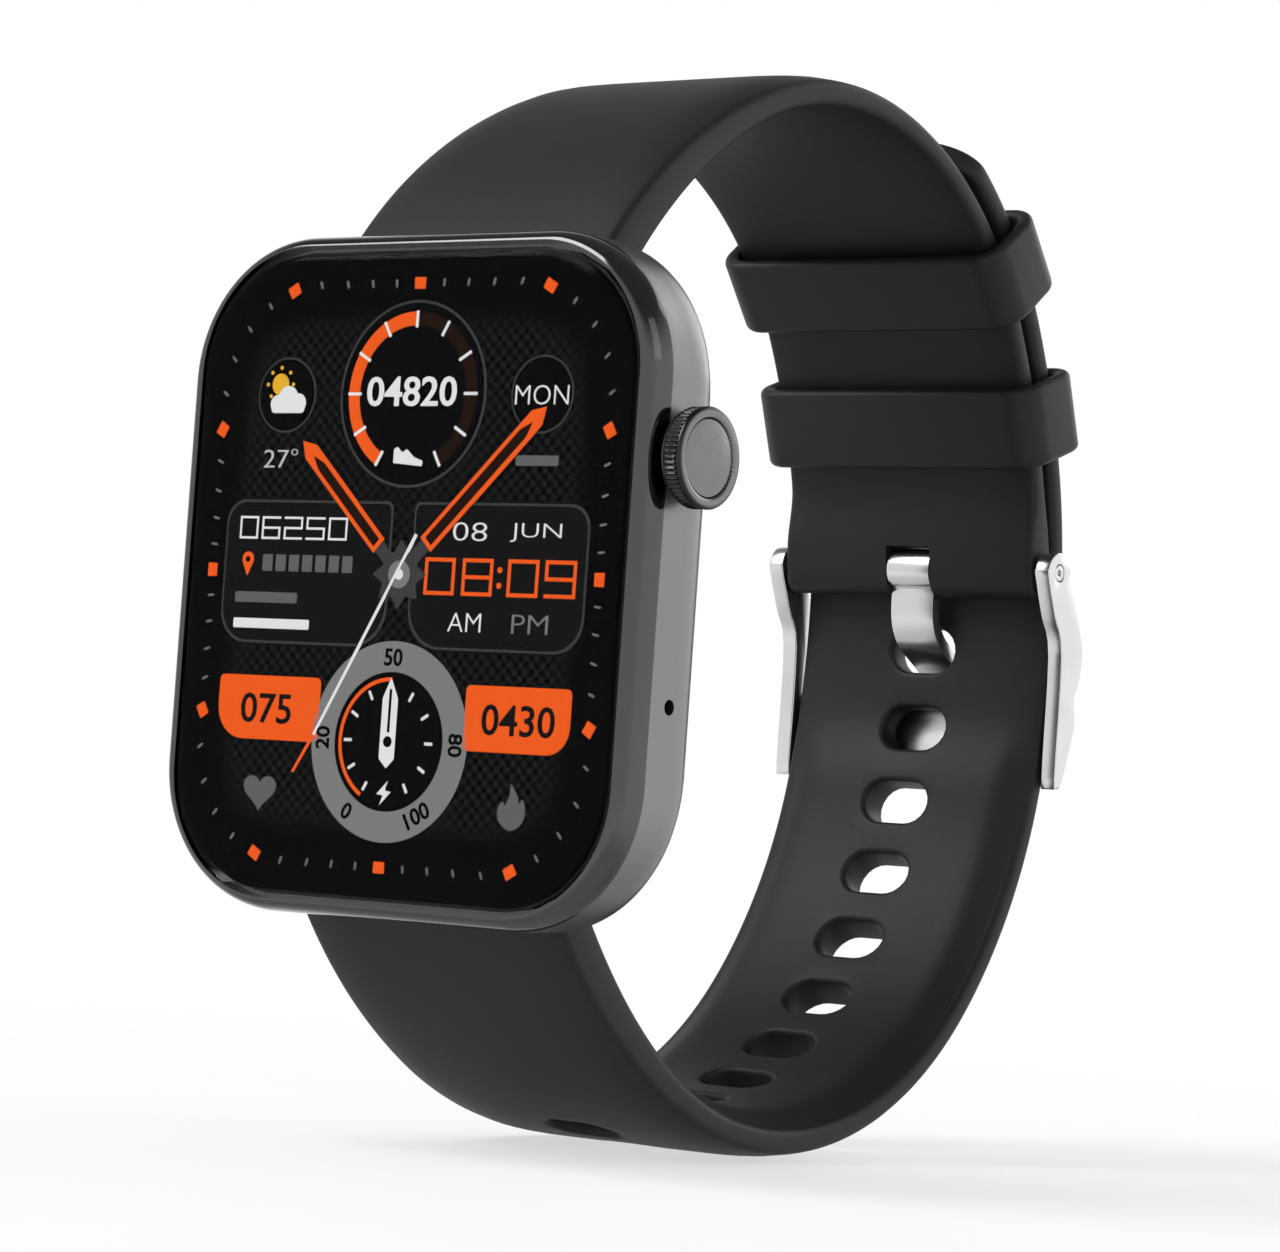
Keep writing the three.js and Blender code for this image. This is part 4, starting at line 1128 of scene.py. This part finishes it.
def longPath():
    rise = arcPath((case["barY"], -case["barZ"]), strap["lowerHeading"], strap["lower"])
    lapStart, over = upperLength - 8, []
    steps = int((lapStart - strap["tailTip"]) / 0.4)
    for i in range(steps + 1):
        over.append(moved(pathAt(upperPath, lapStart + (strap["tailTip"] - lapStart) * i / steps), layerPitch))
    start, end = Vector(rise[-1][:2]), Vector(over[0][:2])
    reach = (end - start).length / 3
    leave = start + reach * Vector((cos(rise[-1][2]), sin(rise[-1][2])))
    arrive = end + reach * Vector((cos(over[0][2]), sin(over[0][2])))
    path = list(rise)

    def extend(y, z, heading):
        last = path[-1]
        path.append((y, z, heading, last[3] + hypot(y - last[0], z - last[1])))

    for i in range(1, 24):
        t = i / 24
        at = (1 - t) ** 3 * start + 3 * t * (1 - t) ** 2 * leave + 3 * t * t * (1 - t) * arrive + t ** 3 * end
        way = (1 - t) ** 2 * (leave - start) + 2 * t * (1 - t) * (arrive - leave) + t * t * (end - arrive)
        extend(at.x, at.y, atan2(way.y, way.x))
    for y, z, heading, _ in over:
        extend(y, z, heading + pi)
    return path


def noseStations(radius):
    # stations round the end at the case, close together where it curves most
    return [-radius * part for part in (0.985, 0.94, 0.85, 0.7, 0.5, 0.25)]


def smoothStep(t):
    u = min(1, max(0, t))
    return u * u * (3 - 2 * u)


def strapDeep(s):
    # thickness in the middle and at the edges
    middle = strap["caseMiddle"] + (strap["thin"] - strap["caseMiddle"]) * smoothStep(s / 46)
    edge = strap["caseEdge"] + (strap["edgeThin"] - strap["caseEdge"]) * smoothStep(s / 26)
    return middle, edge


def offsetLoop(loop, distance):
    # the loop moved to its left
    out = []
    for i, point in enumerate(loop):
        before, after = loop[i - 1], loop[(i + 1) % len(loop)]
        first = Vector((point[0] - before[0], point[1] - before[1])).normalized()
        second = Vector((after[0] - point[0], after[1] - point[1])).normalized()
        across = Vector((-first.y - second.y, first.x + second.x))
        across = across / max(1e-6, across.length_squared) * 2
        out.append((point[0] + across.x * distance, point[1] + across.y * distance))
    return out


def distanceTo(loop, u, v):
    best = 1e9
    for i, (ax, ay) in enumerate(loop):
        bx, by = loop[(i + 1) % len(loop)]
        dx, dy = bx - ax, by - ay
        t = min(1, max(0, ((u - ax) * dx + (v - ay) * dy) / (dx * dx + dy * dy)))
        best = min(best, (ax + t * dx - u) ** 2 + (ay + t * dy - v) ** 2)
    return sqrt(best)


def stadium(x, s, long, short, sides=10):
    # hole across the strap, clockwise, so that its left is outside it
    flat = (long - short) / 2
    loop = []
    for sign in (1, -1):
        for i in range(sides + 1):
            u, v = short / 2 * sin(pi * i / sides), short / 2 * cos(pi * i / sides)
            loop.append((x + sign * (flat + u), s + sign * v))
    return loop


def strapMesh(name, path, deep, outline, holes, stations, halfWidth, swell=None):
    # sheet in (x, distance) with filleted edges and holes, wrapped along the path
    # swell thickens the side towards the wrist
    fillet = strap["fillet"]
    spacings = [0, 0.12, 0.35, 0.7, 1]
    points, height, edges, walls = [], [], [], []
    for loop in [outline, *holes]:
        for k, part in enumerate(spacings):
            ring = offsetLoop(loop, part * fillet)
            first = len(points)
            points += ring
            height += [fillet - sqrt(max(0, fillet ** 2 - (fillet * (1 - part)) ** 2))] * len(ring)
            edges += [(first + i, first + (i + 1) % len(ring)) for i in range(len(ring))]
            if k == 0:
                walls.append(list(range(first, first + len(ring))))
    room = fillet + 0.35
    for s in stations:
        near = [loop for loop in holes if abs(sum(v for _, v in loop) / len(loop) - s) < 4]
        half = halfWidth(s) - room
        count = max(1, int(half * 2 / 1.1))
        for i in range(count + 1):
            x = half * (2 * i / count - 1)
            inHole = any(abs(s - sum(v for _, v in loop) / len(loop)) < 1.7 and abs(x) < 2.6 for loop in near)
            if not inHole and all(distanceTo(loop, x, s) > room for loop in near):
                points.append((x, s))
                height.append(0)
    found = delaunay_2d_cdt([Vector(p) for p in points], edges, [], 0, 1e-6)
    flat, triangles, source = found[0], found[2], found[3]
    drop = [height[origins[0]] if origins else 0 for origins in source]
    at = {}
    for new, origins in enumerate(source):
        for origin in origins:
            at[origin] = new
    rims = [[at[i] for i in rim] for rim in walls]
    rimIds = [set(rim) for rim in rims]
    kept = [t for t in triangles if not any(all(i in ids for i in t) for ids in rimIds)]
    body, count = [], len(flat)
    for sign in (1, -1):
        for i, (x, s) in enumerate(flat):
            half = deep(s, x)
            rise = max(half * 0.12, half - min(drop[i], half * 0.85))
            if swell and sign > 0:
                rise += swell(s, x)
            y, z, _, _ = moved(pathAt(path, s), sign * rise)
            body.append((x, y, z))
    faces = [list(t) for t in kept] + [[i + count for i in reversed(t)] for t in kept]
    for rim in rims:
        for i, a in enumerate(rim):
            b = rim[(i + 1) % len(rim)]
            faces.append([a, b, b + count, a + count])
    return newMesh(name, body, faces)


def spaced(low, high, step):
    count = max(1, round((high - low) / step))
    return [low + (high - low) * i / count for i in range(count + 1)]


def sectionHalf(middle, edge, x):
    return (edge + (middle - edge) * (1 - min(1, abs(x / 11)) ** 8)) / 2


def noseFactor(s, low, high, radius, endRadius):
    if s < low:
        return sqrt(max(0, 1 - ((low - s) / radius) ** 2))
    if s > high:
        return sqrt(max(0, 1 - ((s - high) / endRadius) ** 2))
    return 1


def longStrapMesh():
    path = longPath()
    end = path[-1][3]
    nose = strap["caseMiddle"] / 2
    tipFrom = end - strap["tipLength"]
    half = strap["width"] / 2

    def halfWidth(s):
        reach = max(0, (s - tipFrom) / strap["tipLength"])
        return half * sqrt(max(0.0004, 1 - min(1, reach) ** 2))

    def deep(s, x):
        middle, edge = strapDeep(s)
        reach = max(0, min(1, (s - tipFrom) / strap["tipLength"]))
        return sectionHalf(middle, edge, x) * noseFactor(s, 0, end + 9, nose, 1) * (1 - 0.5 * reach ** 6)

    def swell(s, x):
        along = smoothStep((s - 14) / 12) * (1 - smoothStep((s - 73) / 6))
        return strap["swell"] * along * (1 - smoothStep((abs(x) - 8.5) / 1.7))

    sides = [*noseStations(nose), *spaced(0, tipFrom, 0.8)]
    tip = [(half * cos(pi * i / 40), tipFrom + strap["tipLength"] * sin(pi * i / 40)) for i in range(1, 40)]
    outline = [(x, sides[0]) for x in spaced(-half, half, 1.1)][:-1] + [(half, s) for s in sides] + tip
    outline += [(-half, s) for s in reversed(sides)][:-1]
    holes = []
    for i in range(-strap["holesBelow"], strap["holesAbove"] + 1):
        s = strap["pinHole"] + i * strap["pitch"]
        holes.append(stadium(0, s, strap["holeLong"], strap["holeShort"]))
    stations = [-nose * 0.6, -nose * 0.3, *spaced(0, end - 0.7, 1.1)]
    mesh = strapMesh("longStrap", path, deep, outline, holes, stations, halfWidth, swell)
    return carved("longStrap", mesh, barRooms(-1))


def barRooms(side):
    # the bar's hole and the slot for its release lever
    z = side * case["barZ"]
    return [rodMesh("x", -15, 15, strap["barHole"], (case["barY"], z), 40),
            boxMesh((-9.2, case["barY"], z - 0.95), (-4.6, case["barY"] + 4, z + 0.95))]


def shortStrapMesh():
    half = strap["width"] / 2
    nose, endNose = strap["caseMiddle"] / 2, (strap["thin"] + strap["pinSwell"]) / 2
    end = upperLength

    def swell(s):
        return strap["pinSwell"] * smoothStep((s - end + 7) / 5)

    def deep(s, x):
        middle, edge = strapDeep(s)
        middle, edge = middle + swell(s), edge + 2 * swell(s)
        return sectionHalf(middle, edge, x) * noseFactor(s, 0, end, nose, endNose)

    lowered = [moved(station, -swell(station[3]) / 2) for station in upperPath]
    sides = [*noseStations(nose), *spaced(0, end, 0.8)]
    sides += [end + endNose * part for part in (0.3, 0.6, 0.8, 0.93, 0.985)]
    outline = [(x, sides[0]) for x in spaced(-half, half, 1.1)][:-1] + [(half, s) for s in sides]
    outline += [(x, sides[-1]) for x in spaced(half, -half, 1.1)][1:]
    outline += [(-half, s) for s in reversed(sides)][1:-1]
    stations = [-nose * 0.6, -nose * 0.3, *spaced(0, end + 0.1, 1.1), end + endNose * 0.5]
    mesh = strapMesh("shortStrap", lowered, deep, outline, [], stations, lambda s: half)
    slot = boxMesh((-1.8, pin[0] - 4, 0), (2.1, pin[0] + 4, pin[1] + 1.66))
    return carved("shortStrap", mesh, [*barRooms(1), rodMesh("x", -15, 15, 0.78, pin, 32), slot])


longStrap = addPiece("longStrap", longStrapMesh(), "silicone", None, ["hole_strap"], 45)
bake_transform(longStrap)
addPiece("shortStrap", shortStrapMesh(), "silicone", "short_strap", ["buckle_strap"], 45)
print("straps made")

keeperLook = {
    "span": 6.0, "wall": 1.1, "fillet": 0.5, "side": 0.3, "face": 0.55, "corner": 1.2,
    "lowerAt": 66.4, "upperAt": 55.1,
}


def keeperMesh(name, at):
    y, z, heading, _ = moved(pathAt(upperPath, at), layerPitch / 2)
    wide = strap["width"] / 2 + keeperLook["side"]
    deep = (strap["thin"] + layerPitch) / 2 + keeperLook["face"]
    corner, sides = keeperLook["corner"], 10
    loop = []
    for quarter, (su, sv) in enumerate([(1, 1), (-1, 1), (-1, -1), (1, -1)]):
        for i in range(sides + 1):
            a = (quarter + i / sides) * pi / 2
            u, v = su * (wide - corner) + corner * cos(a), sv * (deep - corner) + corner * sin(a)
            loop.append((u, v, cos(a), sin(a)))
    section = []
    span, wall, fillet = keeperLook["span"] / 2, keeperLook["wall"], keeperLook["fillet"]
    for quarter, (sa, sw) in enumerate([(1, 1), (-1, 1), (-1, 0), (1, 0)]):
        for i in range(7):
            a = (quarter + i / 6) * pi / 2
            centreA, centreW = sa * (span - fillet), (wall - fillet if sw else fillet)
            section.append((centreA + fillet * cos(a), centreW + fillet * sin(a)))
    rings = []
    for u, v, nu, nv in loop:
        ring = []
        for along, out in section:
            x, across = u + nu * out, v + nv * out
            ring.append((x, y + along * cos(heading) - across * sin(heading),
                         z + along * sin(heading) + across * cos(heading)))
        rings.append(ring)
    return tubeMesh(name, rings)


for label in ("Upper", "Lower"):
    key = label.lower()
    mesh = keeperMesh(f"keeper{label}", keeperLook[f"{key}At"])
    addPiece(f"keeper{label}", mesh, "keeper", f"keeper_{key}", [f"keeper_{key}"], 60)
print("keepers made")

# Buckle

buckle = {
    "inside": 11.3, "outside": 12.55, "bow": 1.5, "edge": 0.2,
    "tongueWidth": 3.7, "tongueAcross": 0.15, "tongueThick": 1.0,
}


def closedSpline(points, steps):
    wrapped = [points[-2], points[-1], *points, points[0], points[1]]
    line = spline(wrapped, steps)
    return line[2 * steps: (2 + len(points)) * steps]


def armMesh(low, high):
    outline = []
    for i in range(9):
        a = radians(-15 + i * 26)
        outline.append((pin[0] + 1.5 * cos(a), pin[1] + 1.5 * sin(a)))
    outline += [
        (48.9, 2.4), (50.2, -0.5), (50.3, -9.4), (50.7, -10.1), (51.2, -9.9), (52.2, -7.0), (52.6, -5.2),
        (52.3, -3.6), (52.9, -1.9), (53.1, -0.2), (52.7, 1.2), (51.4, 3.9)]
    plate = plateMesh("arm", closedSpline(outline, 4), low, high)
    eye = rodMesh("x", -15, 15, 0.65, pin, 36)
    return rounded(carved("arm", plate, [eye]), buckle["edge"], 3, 40)


def crossbarMesh():
    outline = closedSpline([
        (50.75, -9.9), (51.35, -9.8), (52.35, -6.6), (52.55, -4.6), (52.2, -3.9), (51.6, -4.1), (51.4, -5.6),
        (50.9, -8.0)], 5)
    rings = []
    for x in spaced(-11.9, 11.9, 0.4):
        bow = buckle["bow"] * (1 - (abs(x) / 12.5) ** 8)
        rings.append([(x, y + bow, z) for y, z in outline])
    return loftMesh("crossbar", rings)


def tongueMesh():
    line = spline([
        (49.0, 4.35), (49.0, 3.0), (49.15, 1.9), (49.6, 0.9), (50.5, 0.0), (52.7, -1.25), (53.9, -2.2),
        (54.75, -3.5), (55.05, -5.0), (54.85, -7.4), (54.35, -9.6)], 4)
    side = {1: [], -1: []}
    for i, (y, z) in enumerate(line):
        before, after = line[max(0, i - 1)], line[min(len(line) - 1, i + 1)]
        way = Vector((after[0] - before[0], after[1] - before[1])).normalized()
        for sign in side:
            reach = sign * buckle["tongueThick"] / 2
            side[sign].append((y - reach * way.y, z + reach * way.x))
    low, high = (buckle["tongueAcross"] + sign * buckle["tongueWidth"] / 2 for sign in (-1, 1))
    blade = plateMesh("blade", side[1] + side[-1][::-1], low, high)
    curl = latheMesh("curl", "x", [(1.6, low), (1.6, high)], pin, 48)
    eye = rodMesh("x", -5, 5, 0.78, pin, 36)
    return rounded(carved("tongue", fused("tongue", [curl, blade]), [eye]), 0.18, 3, 40)


arms = [armMesh(-buckle["outside"], -buckle["inside"]), armMesh(buckle["inside"], buckle["outside"])]
frameMesh = fused("buckleFrame", [*arms, crossbarMesh()])
addPiece("buckleFrame", frameMesh, "steel", "buckle_frame", ["buckle_frame"], 50)
addPiece("buckleTongue", tongueMesh(), "steel", "buckle_tongue", ["buckle_tongue"], 50)
pinEnd = buckle["outside"] - 0.02
pinHalf = [(0.2, 0.3), (0.24, 0.04), (0.3, 0), (0.48, 0), (0.57, 0.05), (0.6, 0.14)]
pinProfile = [(radius, back - pinEnd) for radius, back in pinHalf]
pinProfile += [(radius, pinEnd - back) for radius, back in reversed(pinHalf)]
pinMesh = latheMesh("pin", "x", pinProfile, pin, 36)
addPiece("bucklePin", pinMesh, "steel", "buckle_frame", ["buckle_pin"])
print("buckle made")

# Spring bars

springLook = {"low": -6.9, "high": 7.4, "radius": 0.33, "wire": 0.09, "turns": 9, "steps": 20, "keep": 0.9}


def springMesh(z):
    # round wire wound about the bar
    rings = []
    steps = springLook["turns"] * springLook["steps"]
    for i in range(steps + 1):
        turn = 2 * pi * i / springLook["steps"]
        x = springLook["low"] + (springLook["high"] - springLook["low"]) * i / steps
        out = Vector((0, cos(turn), sin(turn)))
        side = Vector((1, 0, 0))
        centre = Vector((x, case["barY"], z)) + out * springLook["radius"]
        ring = []
        for k in range(8):
            a = 2 * pi * k / 8
            ring.append(tuple(centre + (out * cos(a) + side * sin(a)) * springLook["wire"]))
        rings.append(ring)
    return loftMesh("spring", rings)


for hour, side, body in (("12", 1, "short_strap"), ("6", -1, "case")):
    z = side * case["barZ"]
    stood = [f"bar_spring_{hour}"]
    spring = addPiece(f"barSpring{hour}", springMesh(z), "barSteel", body, stood, 60)
    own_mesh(spring)
print("springs made")

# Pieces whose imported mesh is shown

slotFinishes = {
    "case_metal": "case", "crown_metal": "crown", "cover_glass": "window", "display": "chip",
    "strap_silicone": "silicone", "buckle_steel": "steel", "bar_steel": "barSteel",
    "back_plastic": "back", "window_glass": "window", "gasket_rubber": "rubber",
    "frame_plastic": "frame", "foil": "foil", "board": "board", "chip_plastic": "chip",
    "shield_tin": "tin", "flex_film": "film", "gold_plate": "gold", "diode": "diode",
    "emitter": "emitter", "magnet_nickel": "magnet", "mesh_cloth": "mesh",
}
for entry in frame["record"]["subparts"]:
    node = nodes[entry["node"]]
    node.data.materials.clear()
    node.data.materials.append(finishes[slotFinishes[entry["material_slot"]]])
print("packed pieces finished:", len(nodes))
